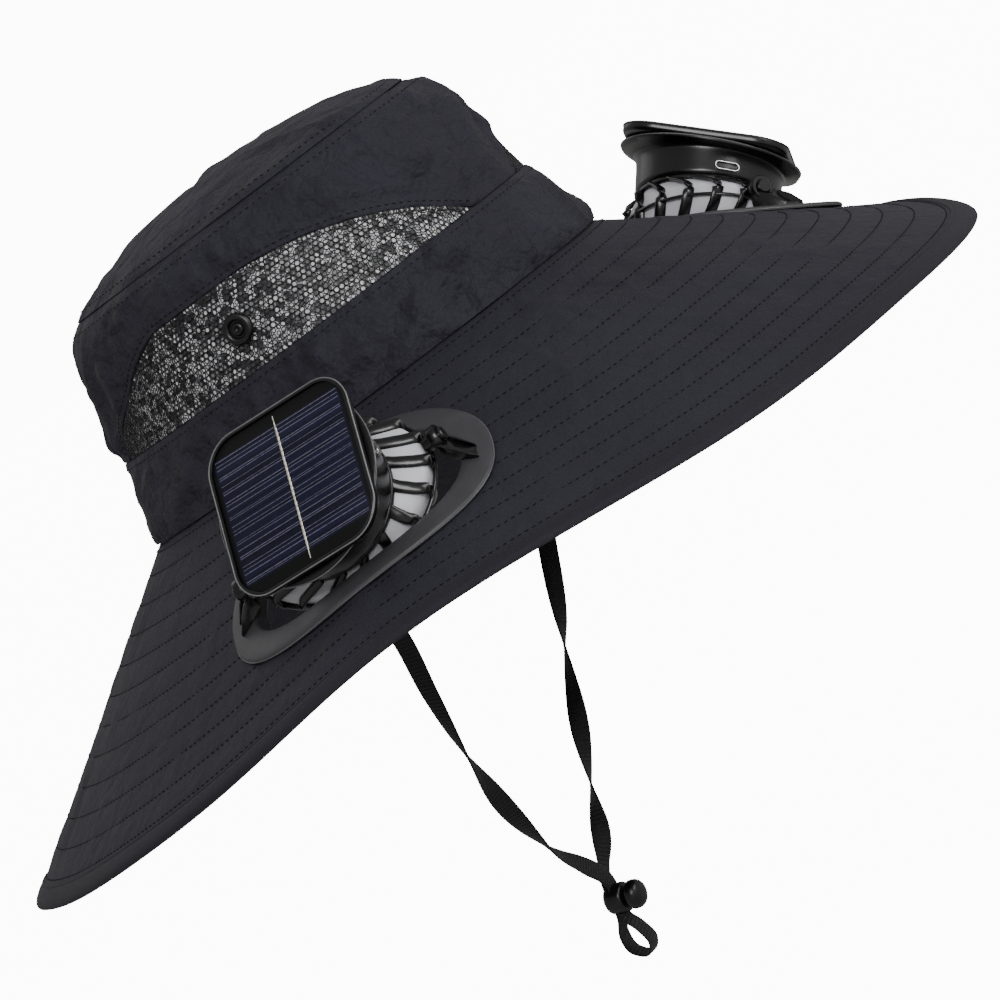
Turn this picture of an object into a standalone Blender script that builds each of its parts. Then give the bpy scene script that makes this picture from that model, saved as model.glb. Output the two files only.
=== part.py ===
"""Wide sun hat with a solar fan let into each side of its brim.

Metres, +Z up. The front of the hat faces -Y and the wearer's right is -X. The origin is the
centre of the seam between crown and brim, where the hat sits on the head. An angle round the hat
is measured from the front towards the wearer's right, in degrees.
"""

import math
from collections import namedtuple

import bmesh
import bpy
from mathutils import Matrix, Vector

# Cloth, and the gap between pieces that touch
CLOTH_WALL = 0.0013
BRIM_WALL = 0.0020
MESH_WALL = 0.0010
GAP = 0.0003

# Crown
CROWN_HALF_WIDTH = 0.086
CROWN_HALF_LENGTH = 0.0995
BAND_HEIGHT = 0.029
CROWN_HEIGHT = 0.078
DOME_RISE = 0.0135
DOME_FULLNESS = 2.2
CROWN_STEPS = 48

# Mesh windows, one on each side
WINDOW_HEIGHT = 0.0315
WINDOW_FRONT_ANGLE = 11.0
WINDOW_REAR_ANGLE = 141.5
WINDOW_END_MARGIN = 1.5

# Snap on each mesh window
SNAP_ANGLE = 75.0
SNAP_HEIGHT = 0.044
SNAP_RADIUS = 0.0055
SNAP_THICKNESS = 0.0022
SNAP_STEPS = 12

# Brim
BRIM_RADIUS = 0.2035
BRIM_DROP = 0.0765
FRONT_DROP = 0.0020
BRIM_STEPS = 60
HEM_WIDTH = 0.007
HEM_THICKNESS = 0.0032
FAN_LIFT = 0.0148
FAN_LIFT_ANGLE = 66.0
FAN_LIFT_SPREAD = 26.0

# Height of the fan's pivot over the brim
PIVOT_HEIGHT = 0.0045

# Base plate, an oval ring that follows the brim
PLATE_HALF_LENGTH = 0.0555
PLATE_HALF_WIDTH = 0.0405
PLATE_RIM_SIDE = 0.0100
PLATE_RIM_END = 0.0115
PLATE_THICKNESS = 0.0018
PLATE_OVALNESS = 2.3
COLLAR_WALL = 0.0014
COLLAR_DEPTH = 0.0045
PLATE_STEPS = 32

# Pivot brackets at the ends of the plate
PIN_RADIUS = 0.0026
PIN_CLEARANCE = 0.0003
BRACKET_HALF_WIDTH = 0.0062
BRACKET_BOSS = 0.0046
BRACKET_LENGTH = 0.0135
BRACKET_INSET = 0.0010
BRACKET_SHOULDER = 0.45
BORE_DEPTH = 0.0050

# Fan head
CAGE_HALF_LENGTH = 0.0390
CAGE_HALF_WIDTH = 0.0286
CAGE_WALL = 0.0016
CAGE_RIBS = 18
RIB_SHARE = 0.36
HOUSING_RADIUS = 0.0262
FLANGE_RADIUS = 0.0328
HOUSING_STEPS = 24

# Solar panel
PANEL_HEIGHT = 0.0298
PANEL_SIDE = 0.0605
PANEL_CORNER = 0.0125
PANEL_THICKNESS = 0.0032
BEZEL_WIDTH = 0.0012
CELL_DEPTH = 0.0011
CELL_CLEARANCE = 0.0003
BUSBAR_WIDTH = 0.0012
BUSBAR_THICKNESS = 0.0003
CELL_MARGIN = 0.0030

# Charging port on the drum
PORT_LENGTH = 0.0090
PORT_HEIGHT = 0.0032
PORT_DEPTH = 0.0008
PORT_LEVEL = 0.0126
PORT_STEPS = 12

# Impeller
IMPELLER_RADIUS = 0.0232
IMPELLER_HUB = 0.0070
IMPELLER_HALF_HEIGHT = 0.0065
IMPELLER_BLADES = 5
BLADE_THICKNESS = 0.0014
BLADE_ROOT = 0.0030
BLADE_DEPTH = 0.92
BLADE_TWIST = 50.0
SHAFT_RADIUS = 0.0025

# Chin strap and its lock
STRAP_WIDTH = 0.0070
STRAP_THICKNESS = 0.0010
STRAP_SAMPLES = 2
LOCK_PLACE = Vector((0.0, 0.0513, -0.1984))
LOCK_LEAN = 14.5
LOCK_RADIUS = 0.0056
LOCK_FRONT = 0.0050
LOCK_REAR = 0.0030
LOCK_EDGE = 0.0012
LOCK_STEPS = 14
SLOT_CLEARANCE = 0.0004
STRAP_SPACING = 0.0015
PLUNGER_RADIUS = 0.0053
PLUNGER_HEIGHT = 0.0048
STEM_RADIUS = 0.0022
STEM_LENGTH = 0.0026
PLUNGER_TRAVEL = 0.0016

# Each fan, by its side: its angle round the hat and reach from the centre, how far its head is
# swung outwards, how its panel is tipped and turned on the drum, and where its port faces.
FanPlace = namedtuple("FanPlace", "word angle reach tilt wedge turn port")
FAN_PLACES = {
    1: FanPlace("right", 70.0, 0.1375, 25.0, 7.0, -11.5, 190.0),
    -1: FanPlace("left", -66.0, 0.1480, 20.0, 11.0, -33.0, -13.0),
}

# A pivot bracket along its length from its mouth: shares of its half width and of its rise.
BracketSection = namedtuple("BracketSection", "along width rise")
BRACKET_SECTIONS = (
    BracketSection(0.00, 0.74, 1.00),
    BracketSection(0.34, 0.86, 1.00),
    BracketSection(0.62, 1.00, 0.62),
    BracketSection(1.00, 0.55, 0.12),
)

# A turned profile: shares of a radius and of a height.
TurnedSection = namedtuple("TurnedSection", "radius height")
SNAP_SECTIONS = (
    TurnedSection(1.00, 0.0),
    TurnedSection(1.00, 0.5),
    TurnedSection(0.86, 1.0),
    TurnedSection(0.62, 1.0),
    TurnedSection(0.52, 0.4),
    TurnedSection(0.40, 0.9),
    TurnedSection(0.20, 1.0),
)
PLUNGER_SECTIONS = (
    TurnedSection(1.00, 0.00),
    TurnedSection(1.00, 0.35),
    TurnedSection(0.82, 0.75),
    TurnedSection(0.42, 1.00),
)

# The port's rim: shares of its outline and of its depth.
PortSection = namedtuple("PortSection", "scale level")
PORT_SECTIONS = (
    PortSection(1.00, 0.0),
    PortSection(1.00, 1.0),
    PortSection(0.72, 1.0),
    PortSection(0.66, 0.4),
)

# The crown's side: reach is the share of the base oval at a share of the crown's height.
CrownSection = namedtuple("CrownSection", "height reach")
CROWN_SECTIONS = (
    CrownSection(0.00, 1.000),
    CrownSection(0.12, 0.965),
    CrownSection(0.25, 0.933),
    CrownSection(0.38, 0.906),
    CrownSection(0.50, 0.890),
    CrownSection(0.70, 0.865),
    CrownSection(0.85, 0.832),
    CrownSection(0.95, 0.790),
    CrownSection(1.00, 0.740),
)

# A mesh window's top edge: its height as a share of the window's, along its length from the front.
WindowSection = namedtuple("WindowSection", "along height")
WINDOW_SECTIONS = (
    WindowSection(0.00, 0.00),
    WindowSection(0.10, 0.42),
    WindowSection(0.20, 0.70),
    WindowSection(0.32, 0.90),
    WindowSection(0.44, 0.98),
    WindowSection(0.66, 0.98),
    WindowSection(0.75, 0.83),
    WindowSection(0.85, 0.55),
    WindowSection(0.96, 0.25),
    WindowSection(1.00, 0.00),
)

# The cage's outside from its round top ring, over its oval rim, down to its floor: shares of its
# half length and half width, its level as a share of the half width, and whether ribs part there.
CageSection = namedtuple("CageSection", "length width level open_below")
CAGE_SECTIONS = (
    CageSection(0.655, 0.893, 0.300, False),
    CageSection(0.700, 0.922, 0.262, True),
    CageSection(0.860, 0.968, 0.165, True),
    CageSection(1.000, 1.000, 0.045, False),
    CageSection(1.000, 1.000, -0.060, True),
    CageSection(0.800, 0.840, -0.400, True),
    CageSection(0.400, 0.440, -0.600, False),
)

# The drum's outside: reach beyond its radius as a share of the flange's overhang, level as a share
# of its height, and how much of the wedge the section takes.
DrumSection = namedtuple("DrumSection", "overhang level wedge")
DRUM_SECTIONS = (
    DrumSection(-0.75, 0.00, 0.0),
    DrumSection(-0.12, 0.02, 0.0),
    DrumSection(0.00, 0.10, 0.0),
    DrumSection(0.04, 0.55, 0.0),
    DrumSection(0.12, 0.76, 0.6),
    DrumSection(0.55, 0.88, 0.9),
    DrumSection(1.00, 0.92, 1.0),
    DrumSection(1.00, 1.00, 1.0),
)

# The strap's route, from its seam at the wearer's right, through the lock, round the tail and up
# to the left. Heading is the way that its width faces, from above, in degrees.
StrapPoint = namedtuple("StrapPoint", "x y z heading")
STRAP_ROUTE = (
    StrapPoint(-0.0813, 0.0000, 0.0080, -90),
    StrapPoint(-0.0829, 0.0004, -0.0060, -90),
    StrapPoint(-0.0785, 0.0030, -0.0270, -86),
    StrapPoint(-0.0702, 0.0075, -0.0510, -80),
    StrapPoint(-0.0612, 0.0134, -0.0739, -75),
    StrapPoint(-0.0560, 0.0217, -0.0970, -95),
    StrapPoint(-0.0485, 0.0305, -0.1224, -145),
    StrapPoint(-0.0384, 0.0376, -0.1454, -235),
    StrapPoint(-0.0245, 0.0435, -0.1675, -325),
    StrapPoint(-0.0125, 0.0455, -0.1795, -358),
    StrapPoint(-0.0042, 0.0472, -0.1868, -360),
    StrapPoint(0.0000, 0.0490, -0.1926, -360),
    StrapPoint(0.0000, 0.0506, -0.1986, -360),
    StrapPoint(0.0000, 0.0522, -0.2048, -360),
    StrapPoint(0.0020, 0.0512, -0.2113, -360),
    StrapPoint(0.0044, 0.0520, -0.2180, -360),
    StrapPoint(0.0052, 0.0566, -0.2218, -360),
    StrapPoint(0.0044, 0.0610, -0.2175, -360),
    StrapPoint(0.0020, 0.0590, -0.2108, -360),
    StrapPoint(0.0000, 0.0536, -0.2044, -360),
    StrapPoint(0.0000, 0.0520, -0.1982, -360),
    StrapPoint(0.0000, 0.0505, -0.1921, -360),
    StrapPoint(0.0036, 0.0487, -0.1856, -364),
    StrapPoint(0.0095, 0.0460, -0.1770, -410),
    StrapPoint(0.0164, 0.0417, -0.1615, -505),
    StrapPoint(0.0270, 0.0362, -0.1402, -595),
    StrapPoint(0.0385, 0.0305, -0.1180, -685),
    StrapPoint(0.0455, 0.0272, -0.1059, -735),
    StrapPoint(0.0567, 0.0219, -0.0849, -775),
    StrapPoint(0.0655, 0.0160, -0.0670, -790),
    StrapPoint(0.0740, 0.0085, -0.0440, -800),
    StrapPoint(0.0797, 0.0033, -0.0240, -808),
    StrapPoint(0.0829, 0.0004, -0.0060, -810),
    StrapPoint(0.0813, 0.0000, 0.0080, -810),
)

Finish = namedtuple("Finish", "color roughness metallic")
CLOTH = Finish((0.030, 0.030, 0.036), 0.85, 0.0)
MESH_CLOTH = Finish((0.10, 0.10, 0.11), 0.80, 0.0)
WEBBING = Finish((0.012, 0.012, 0.013), 0.75, 0.0)
GREY_PLASTIC = Finish((0.085, 0.085, 0.092), 0.45, 0.0)
BLACK_PLASTIC = Finish((0.008, 0.008, 0.009), 0.25, 0.0)
PALE_PLASTIC = Finish((0.52, 0.52, 0.54), 0.45, 0.0)
SILICON = Finish((0.020, 0.022, 0.060), 0.20, 0.0)
TINNED_METAL = Finish((0.62, 0.60, 0.54), 0.35, 0.9)


def clear_scene():
    """Removes whatever the scene holds."""
    for thing in list(bpy.data.objects):
        bpy.data.objects.remove(thing, do_unlink=True)


def between(rows, at, key, value):
    """The value in a table of rows at a place along its key column, on straight lines."""
    for low, high in zip(rows, rows[1:]):
        if at <= getattr(high, key):
            span = getattr(high, key) - getattr(low, key)
            share = (at - getattr(low, key)) / span
            return getattr(low, value) + share * (getattr(high, value) - getattr(low, value))
    return getattr(rows[-1], value)


def make_object(name, mesh_builder, finish, place=None):
    """Makes one named object from a bmesh, with its own material."""
    bmesh.ops.recalc_face_normals(mesh_builder, faces=mesh_builder.faces)
    mesh = bpy.data.meshes.new(name)
    mesh_builder.to_mesh(mesh)
    mesh_builder.free()
    mesh.shade_smooth()
    mesh.set_sharp_from_angle(angle=math.radians(35))
    thing = bpy.data.objects.new(name, mesh)
    bpy.context.scene.collection.objects.link(thing)
    if place is not None:
        thing.matrix_world = place
    material = bpy.data.materials.new(name)
    material.use_nodes = True
    shader = material.node_tree.nodes["Principled BSDF"]
    shader.inputs["Base Color"].default_value = (*finish.color, 1.0)
    shader.inputs["Roughness"].default_value = finish.roughness
    shader.inputs["Metallic"].default_value = finish.metallic
    mesh.materials.append(material)
    return thing


def loft(sections, ring=False, built=None):
    """A body through closed sections with as many points each: a ring, or capped at both ends."""
    built = built or bmesh.new()
    rows = [[built.verts.new(point) for point in section] for section in sections]
    count = len(rows[0])
    pairs = list(zip(rows, rows[1:] + rows[:1])) if ring else list(zip(rows, rows[1:]))
    for first, second in pairs:
        for index in range(count):
            after = (index + 1) % count
            built.faces.new((first[index], first[after], second[after], second[index]))
    if not ring:
        built.faces.new(list(reversed(rows[0])))
        built.faces.new(rows[-1])
    return built


def turned(profile, steps, squash=1.0):
    """A body turned round Z through (radius, height) points, capped at both ends."""
    sections = []
    for radius, height in profile:
        section = []
        for step in range(steps):
            turn = 2 * math.pi * step / steps
            section.append(Vector((radius * math.cos(turn), squash * radius * math.sin(turn), height)))
        sections.append(section)
    return loft(sections)


def cut(thing, cutter, operation="DIFFERENCE"):
    """Adds an exact Boolean with a hidden cutter."""
    cutter.hide_render = True
    cutter.display_type = "WIRE"
    modifier = thing.modifiers.new(cutter.name, "BOOLEAN")
    modifier.operation = operation
    modifier.solver = "EXACT"
    modifier.object = cutter


def oval_reach(angle, half_width, half_length):
    """The distance from the centre to an oval at an angle round the hat."""
    turn = math.radians(angle)
    return 1 / math.hypot(math.sin(turn) / half_width, math.cos(turn) / half_length)


def outward(angle):
    """The level direction that points outwards at an angle round the hat."""
    turn = math.radians(angle)
    return Vector((-math.sin(turn), -math.cos(turn), 0.0))


def crown_point(angle, height, inset=0.0):
    """A point of the crown's side, or inset from it."""
    share = min(height / CROWN_HEIGHT, 1.0)
    reach = between(CROWN_SECTIONS, share, "height", "reach")
    base = oval_reach(angle, CROWN_HALF_WIDTH, CROWN_HALF_LENGTH)
    return outward(angle) * (base * reach - inset) + Vector((0, 0, height))


def window_top(angle):
    """The height of a mesh window's top edge, or of the band where there is no window."""
    side = abs((angle + 180) % 360 - 180)
    along = (side - WINDOW_FRONT_ANGLE) / (WINDOW_REAR_ANGLE - WINDOW_FRONT_ANGLE)
    if not 0 < along < 1:
        return BAND_HEIGHT + GAP
    return BAND_HEIGHT + GAP + WINDOW_HEIGHT * between(WINDOW_SECTIONS, along, "along", "height")


def crown_angles():
    """Angles round the crown, with one at each end of a mesh window and more at its steep rear."""
    angles = {360 * step / CROWN_STEPS - 180 for step in range(CROWN_STEPS)}
    length = WINDOW_REAR_ANGLE - WINDOW_FRONT_ANGLE
    for row in WINDOW_SECTIONS:
        if row.along in (0.0, 0.96, 1.0):
            angles |= {side * (WINDOW_FRONT_ANGLE + row.along * length) for side in (-1, 1)}
    return sorted(angles)


def wall_section(angle, heights, wall, inset=0.0):
    """A closed section of the crown's wall, up its outside and down its inside."""
    outside = [crown_point(angle, height, inset) for height in heights]
    inside = [crown_point(angle, height, inset + wall) for height in reversed(heights)]
    return outside + inside


def make_crown():
    """The band, the side over the mesh windows, and the domed top."""
    band_heights = [BAND_HEIGHT * share for share in (0.0, 0.5, 1.0)]
    angles = crown_angles()
    band = [wall_section(angle, band_heights, CLOTH_WALL) for angle in angles]
    make_object("crown_band", loft(band, ring=True), CLOTH)

    side = []
    for angle in angles:
        low = window_top(angle)
        heights = [low + (CROWN_HEIGHT - low) * share for share in (0.0, 0.35, 0.65, 0.85, 1.0)]
        side.append(wall_section(angle, heights, CLOTH_WALL))
    make_object("crown_side", loft(side, ring=True), CLOTH)
    make_crown_top()


def make_crown_top():
    """The domed oval top, whose rim lies on the side's top edge."""
    built = bmesh.new()
    rim = CROWN_SECTIONS[-1].reach
    layers = []
    for drop in (0.0, CLOTH_WALL):
        rows = []
        for share in (1.0, 0.85, 0.55, 0.25):
            height = CROWN_HEIGHT + GAP + CLOTH_WALL + DOME_RISE * (1 - share**DOME_FULLNESS) - drop
            row = []
            for step in range(CROWN_STEPS):
                angle = 360 * step / CROWN_STEPS - 180
                base = oval_reach(angle, CROWN_HALF_WIDTH, CROWN_HALF_LENGTH) * rim * share
                row.append(built.verts.new(outward(angle) * base + Vector((0, 0, height))))
            rows.append(row)
        peak = CROWN_HEIGHT + GAP + CLOTH_WALL + DOME_RISE - drop
        layers.append((rows, built.verts.new((0, 0, peak))))
    for rows, peak in layers:
        for first, second in zip(rows, rows[1:]):
            for index in range(CROWN_STEPS):
                after = (index + 1) % CROWN_STEPS
                built.faces.new((first[index], first[after], second[after], second[index]))
        for index in range(CROWN_STEPS):
            built.faces.new((rows[-1][index], rows[-1][(index + 1) % CROWN_STEPS], peak))
    top, bottom = layers[0][0][0], layers[1][0][0]
    for index in range(CROWN_STEPS):
        after = (index + 1) % CROWN_STEPS
        built.faces.new((top[index], top[after], bottom[after], bottom[index]))
    make_object("crown_top", built, CLOTH)


def make_mesh_window(side, word):
    """The coarse knit that fills one window, and its snap."""
    first, last = WINDOW_FRONT_ANGLE + WINDOW_END_MARGIN, WINDOW_REAR_ANGLE - WINDOW_END_MARGIN
    sections = []
    for angle in sorted({first, last, *crown_angles()}):
        if first <= angle <= last:
            height = window_top(side * angle) - BAND_HEIGHT - 2 * GAP
            heights = [BAND_HEIGHT + GAP + height * share for share in (0.0, 0.5, 1.0)]
            sections.append(wall_section(side * angle, heights, MESH_WALL, GAP))
    make_object(f"mesh_{word}", loft(sections), MESH_CLOTH)

    seat = crown_point(side * SNAP_ANGLE, SNAP_HEIGHT)
    above = crown_point(side * SNAP_ANGLE, SNAP_HEIGHT + SNAP_RADIUS)
    below = crown_point(side * SNAP_ANGLE, SNAP_HEIGHT - SNAP_RADIUS)
    before = crown_point(side * SNAP_ANGLE - 4, SNAP_HEIGHT)
    behind = crown_point(side * SNAP_ANGLE + 4, SNAP_HEIGHT)
    across = (behind - before).normalized()
    normal = across.cross((above - below).normalized()).normalized()
    if normal.dot(seat) < 0:
        normal.negate()
    upward = normal.cross(across)
    place = Matrix((across, upward, normal)).transposed().to_4x4()
    place.translation = seat + normal * GAP
    profile = [(SNAP_RADIUS * row.radius, SNAP_THICKNESS * row.height) for row in SNAP_SECTIONS]
    make_object(f"snap_{word}", turned(profile, SNAP_STEPS), BLACK_PLASTIC, place)


def brim_inner(angle):
    """The brim's inner edge, under the crown's wall."""
    return oval_reach(angle, CROWN_HALF_WIDTH, CROWN_HALF_LENGTH) - CLOTH_WALL


def brim_drop(angle):
    """How far the brim's edge hangs below the seam: more at the front, and less beside the fans."""
    side = abs((angle + 180) % 360 - 180)
    lift = FAN_LIFT * math.exp(-(((side - FAN_LIFT_ANGLE) / FAN_LIFT_SPREAD) ** 2))
    return BRIM_DROP + FRONT_DROP * math.cos(math.radians(angle)) - lift


def brim_height(x, y):
    """The height of the brim's upper face above a point of the plan."""
    angle = math.degrees(math.atan2(-x, -y))
    inner = brim_inner(angle)
    share = (math.hypot(x, y) - inner) / (BRIM_RADIUS - inner)
    return -GAP - brim_drop(angle) * share


def brim_point(x, y, above=0.0):
    """A point over the brim's upper face, moved along its normal."""
    step = 0.0005
    slope_x = (brim_height(x + step, y) - brim_height(x - step, y)) / (2 * step)
    slope_y = (brim_height(x, y + step) - brim_height(x, y - step)) / (2 * step)
    normal = Vector((-slope_x, -slope_y, 1.0)).normalized()
    return Vector((x, y, brim_height(x, y))) + normal * above


def brim_at(angle, reach, above=0.0):
    """A point over the brim's upper face at an angle and a distance from the centre."""
    spot = outward(angle) * reach
    return brim_point(spot.x, spot.y, above)


def make_brim():
    """The sewn brim with its two fan holes, and the bound edge."""
    sections, hem = [], []
    cloth_edge = BRIM_RADIUS - HEM_WIDTH
    bevel = HEM_THICKNESS / 3
    for step in range(BRIM_STEPS):
        angle = 360 * step / BRIM_STEPS
        inner = brim_inner(angle)
        reaches = [inner + (cloth_edge - inner) * share for share in (0.0, 0.33, 0.67, 1.0)]
        upper = [brim_at(angle, reach) for reach in reaches]
        lower = [brim_at(angle, reach, -BRIM_WALL) for reach in reversed(reaches)]
        sections.append(upper + lower)
        middle = -BRIM_WALL / 2
        inside, outside = cloth_edge + GAP, BRIM_RADIUS
        hem.append(
            [
                brim_at(angle, inside, middle + HEM_THICKNESS / 2),
                brim_at(angle, outside - bevel, middle + HEM_THICKNESS / 2),
                brim_at(angle, outside, middle + bevel / 2),
                brim_at(angle, outside, middle - bevel / 2),
                brim_at(angle, outside - bevel, middle - HEM_THICKNESS / 2),
                brim_at(angle, inside, middle - HEM_THICKNESS / 2),
            ]
        )
    brim = make_object("brim", loft(sections, ring=True), CLOTH)
    make_object("brim_hem", loft(hem, ring=True), CLOTH)
    for side, fan in FAN_PLACES.items():
        hole = plate_outline(
            side,
            PLATE_HALF_LENGTH - PLATE_RIM_END + COLLAR_WALL + GAP,
            PLATE_HALF_WIDTH - PLATE_RIM_SIDE + COLLAR_WALL + GAP,
        )
        depth = BRIM_WALL + COLLAR_DEPTH
        walls = [[brim_point(spot.x, spot.y, level) for spot in hole] for level in (-depth, depth)]
        cutter = make_object(f"brim_hole_{fan.word}", loft(walls), CLOTH)
        cut(brim, cutter)


def fan_slope(side):
    """The brim's slope at the fan, as the cosine that shortens a length in plan."""
    fan = FAN_PLACES[side]
    inner = brim_at(fan.angle, fan.reach - PLATE_HALF_WIDTH / 2)
    outer = brim_at(fan.angle, fan.reach + PLATE_HALF_WIDTH / 2)
    return PLATE_HALF_WIDTH / (outer - inner).length


def plate_spot(side, along, down):
    """The plan of a point on the brim, given along it and down its slope from the fan's centre."""
    fan = FAN_PLACES[side]
    away = outward(fan.angle)
    rearward = Vector((away.y, -away.x, 0.0)) * side
    return away * (fan.reach + down * fan_slope(side)) + rearward * along


def plate_outline(side, half_length, half_width):
    """The plan of an oval round the fan's centre on the brim."""
    outline = []
    for step in range(PLATE_STEPS):
        turn = 2 * math.pi * step / PLATE_STEPS
        along = math.copysign(abs(math.cos(turn)) ** (2 / PLATE_OVALNESS), math.cos(turn))
        down = math.copysign(abs(math.sin(turn)) ** (2 / PLATE_OVALNESS), math.sin(turn))
        outline.append(plate_spot(side, half_length * along, half_width * down))
    return outline


def make_plate(side, word):
    """The oval base plate: a flange on the brim and a collar through its hole."""
    length, width = PLATE_HALF_LENGTH, PLATE_HALF_WIDTH
    hole_length, hole_width = length - PLATE_RIM_END, width - PLATE_RIM_SIDE
    outer = plate_outline(side, length, width)
    inner = plate_outline(side, hole_length, hole_width)
    collar = plate_outline(side, hole_length + COLLAR_WALL, hole_width + COLLAR_WALL)
    sections = []
    for rim, hole, sleeve in zip(outer, inner, collar):
        sections.append(
            [
                brim_point(rim.x, rim.y, GAP),
                brim_point(rim.x, rim.y, GAP + PLATE_THICKNESS),
                brim_point(hole.x, hole.y, GAP + PLATE_THICKNESS),
                brim_point(hole.x, hole.y, -COLLAR_DEPTH),
                brim_point(sleeve.x, sleeve.y, -COLLAR_DEPTH),
                brim_point(sleeve.x, sleeve.y, GAP),
            ]
        )
    make_object(f"fan_plate_{word}", loft(sections, ring=True), GREY_PLASTIC)


def fan_frame(side):
    """The fan's own frame on its pivot: X rearward on the right side and forward on the left,
    Y down the brim's slope and Z out of the brim."""
    fan = FAN_PLACES[side]
    centre = brim_at(fan.angle, fan.reach)
    normal = (brim_at(fan.angle, fan.reach, PIVOT_HEIGHT) - centre).normalized()
    away = outward(fan.angle)
    turn = Vector((away.y, -away.x, 0.0))
    tangent = (turn - normal * turn.dot(normal)).normalized()
    frame = Matrix((tangent, normal.cross(tangent), normal)).transposed().to_4x4()
    frame.translation = centre + normal * PIVOT_HEIGHT
    return frame


def head_frame(side):
    """The fan head's frame: the pivot's frame, swung outwards on its X axis."""
    return fan_frame(side) @ Matrix.Rotation(-math.radians(FAN_PLACES[side].tilt), 4, "X")


def bracket_mouth():
    """The distance from the fan's centre to a bracket's mouth."""
    return PLATE_HALF_LENGTH - BRACKET_INSET - BRACKET_LENGTH


def make_brackets(side, word):
    """The two brackets that carry the head's pins, each on one end of the plate."""
    frame = fan_frame(side)
    into_frame = frame.inverted()
    for end, place in ((-1, "front"), (1, "rear")):
        sections = []
        for row in BRACKET_SECTIONS:
            along = bracket_mouth() + BRACKET_LENGTH * row.along
            half = BRACKET_HALF_WIDTH * row.width
            feet = []
            for down in (-half, half):
                spot = plate_spot(side, end * along, down)
                feet.append(into_frame @ brim_point(spot.x, spot.y, 2 * GAP + PLATE_THICKNESS))
            low = (feet[0].z + feet[1].z) / 2
            high = low + (BRACKET_BOSS - low) * row.rise
            shoulder = low + (high - low) * BRACKET_SHOULDER
            x = (feet[0].x + feet[1].x) / 2
            sections.append(
                [
                    feet[0],
                    feet[1],
                    Vector((x, half * 0.95, shoulder)),
                    Vector((x, half * 0.55, high)),
                    Vector((x, -half * 0.55, high)),
                    Vector((x, -half * 0.95, shoulder)),
                ]
            )
        name = f"fan_bracket_{place}_{word}"
        bracket = make_object(name, loft(sections), BLACK_PLASTIC, frame)
        mouth = sections[0][2].x
        outside = mouth - math.copysign(PIN_RADIUS, mouth)
        inside = mouth + math.copysign(BORE_DEPTH, mouth)
        bore = make_pin(f"{name}_bore", outside, inside, PIN_RADIUS + PIN_CLEARANCE, frame)
        cut(bracket, bore)


def make_pin(name, start, end, radius, place):
    """A round pin along X between two places."""
    pin = turned(((radius, min(start, end)), (radius, max(start, end))), 12)
    bmesh.ops.rotate(pin, verts=pin.verts, matrix=Matrix.Rotation(math.radians(90), 3, "Y"))
    return make_object(name, pin, BLACK_PLASTIC, place)


def cage_shell():
    """The ribbed ball as a single sheet, open between its ribs."""
    built = bmesh.new()
    rows = []
    for section in CAGE_SECTIONS:
        row = []
        for rib in range(CAGE_RIBS):
            for share in (-RIB_SHARE / 2, RIB_SHARE / 2):
                turn = 2 * math.pi * (rib + share) / CAGE_RIBS
                x = CAGE_HALF_LENGTH * section.length * math.cos(turn)
                y = CAGE_HALF_WIDTH * section.width * math.sin(turn)
                row.append(built.verts.new((x, y, CAGE_HALF_WIDTH * section.level)))
        rows.append(row)
    for section, upper, lower in zip(CAGE_SECTIONS, rows, rows[1:]):
        for index in range(len(upper)):
            if section.open_below and index % 2:
                continue
            after = (index + 1) % len(upper)
            built.faces.new((upper[index], lower[index], lower[after], upper[after]))
    built.faces.new(list(reversed(rows[-1])))
    return built


def make_cage(side, word):
    """The cage, with the two pins on which the head swings."""
    place = head_frame(side)
    cage = make_object(f"fan_cage_{word}", cage_shell(), BLACK_PLASTIC, place)
    wall = cage.modifiers.new("wall", "SOLIDIFY")
    wall.thickness = CAGE_WALL
    wall.offset = -1.0
    for end, word_end in ((-1, "front"), (1, "rear")):
        pin = make_pin(
            f"cage_pin_{word_end}_{word}",
            end * (CAGE_HALF_LENGTH - CAGE_WALL / 2),
            end * (bracket_mouth() + BORE_DEPTH - 2 * PIN_CLEARANCE),
            PIN_RADIUS,
            place,
        )
        cut(cage, pin, "UNION")


def housing_seat():
    """The level of the drum's underside in the head's frame, on the cage's top ring."""
    return CAGE_HALF_WIDTH * CAGE_SECTIONS[0].level + GAP


def make_housing(side, word):
    """The drum that flares into a round flange, cut off along the wedge."""
    height = PANEL_HEIGHT - PANEL_THICKNESS - GAP - housing_seat()
    fall = math.tan(math.radians(FAN_PLACES[side].wedge))
    overhang = FLANGE_RADIUS - HOUSING_RADIUS
    sections = []
    for row in DRUM_SECTIONS:
        radius = HOUSING_RADIUS + overhang * row.overhang
        section = []
        for step in range(HOUSING_STEPS):
            turn = 2 * math.pi * step / HOUSING_STEPS
            x, y = radius * math.cos(turn), radius * math.sin(turn)
            level = housing_seat() + height * row.level - x * fall * row.wedge
            section.append(Vector((x, y, level)))
        sections.append(section)
    make_object(f"fan_housing_{word}", loft(sections), BLACK_PLASTIC, head_frame(side))


def housing_radius_at(level):
    """The drum's outer radius at a level in the head's frame."""
    height = PANEL_HEIGHT - PANEL_THICKNESS - GAP - housing_seat()
    share = (level - housing_seat()) / height
    overhang = between(DRUM_SECTIONS, share, "level", "overhang")
    return HOUSING_RADIUS + (FLANGE_RADIUS - HOUSING_RADIUS) * overhang


def panel_frame_place(side):
    """The panel's frame: its centre on the head's axis, tipped by the wedge and turned."""
    tip = Matrix.Rotation(math.radians(FAN_PLACES[side].wedge), 4, "Y")
    turn = Matrix.Rotation(math.radians(FAN_PLACES[side].turn), 4, "Z")
    raised = Matrix.Translation((0, 0, PANEL_HEIGHT))
    return head_frame(side) @ raised @ tip @ turn


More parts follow.
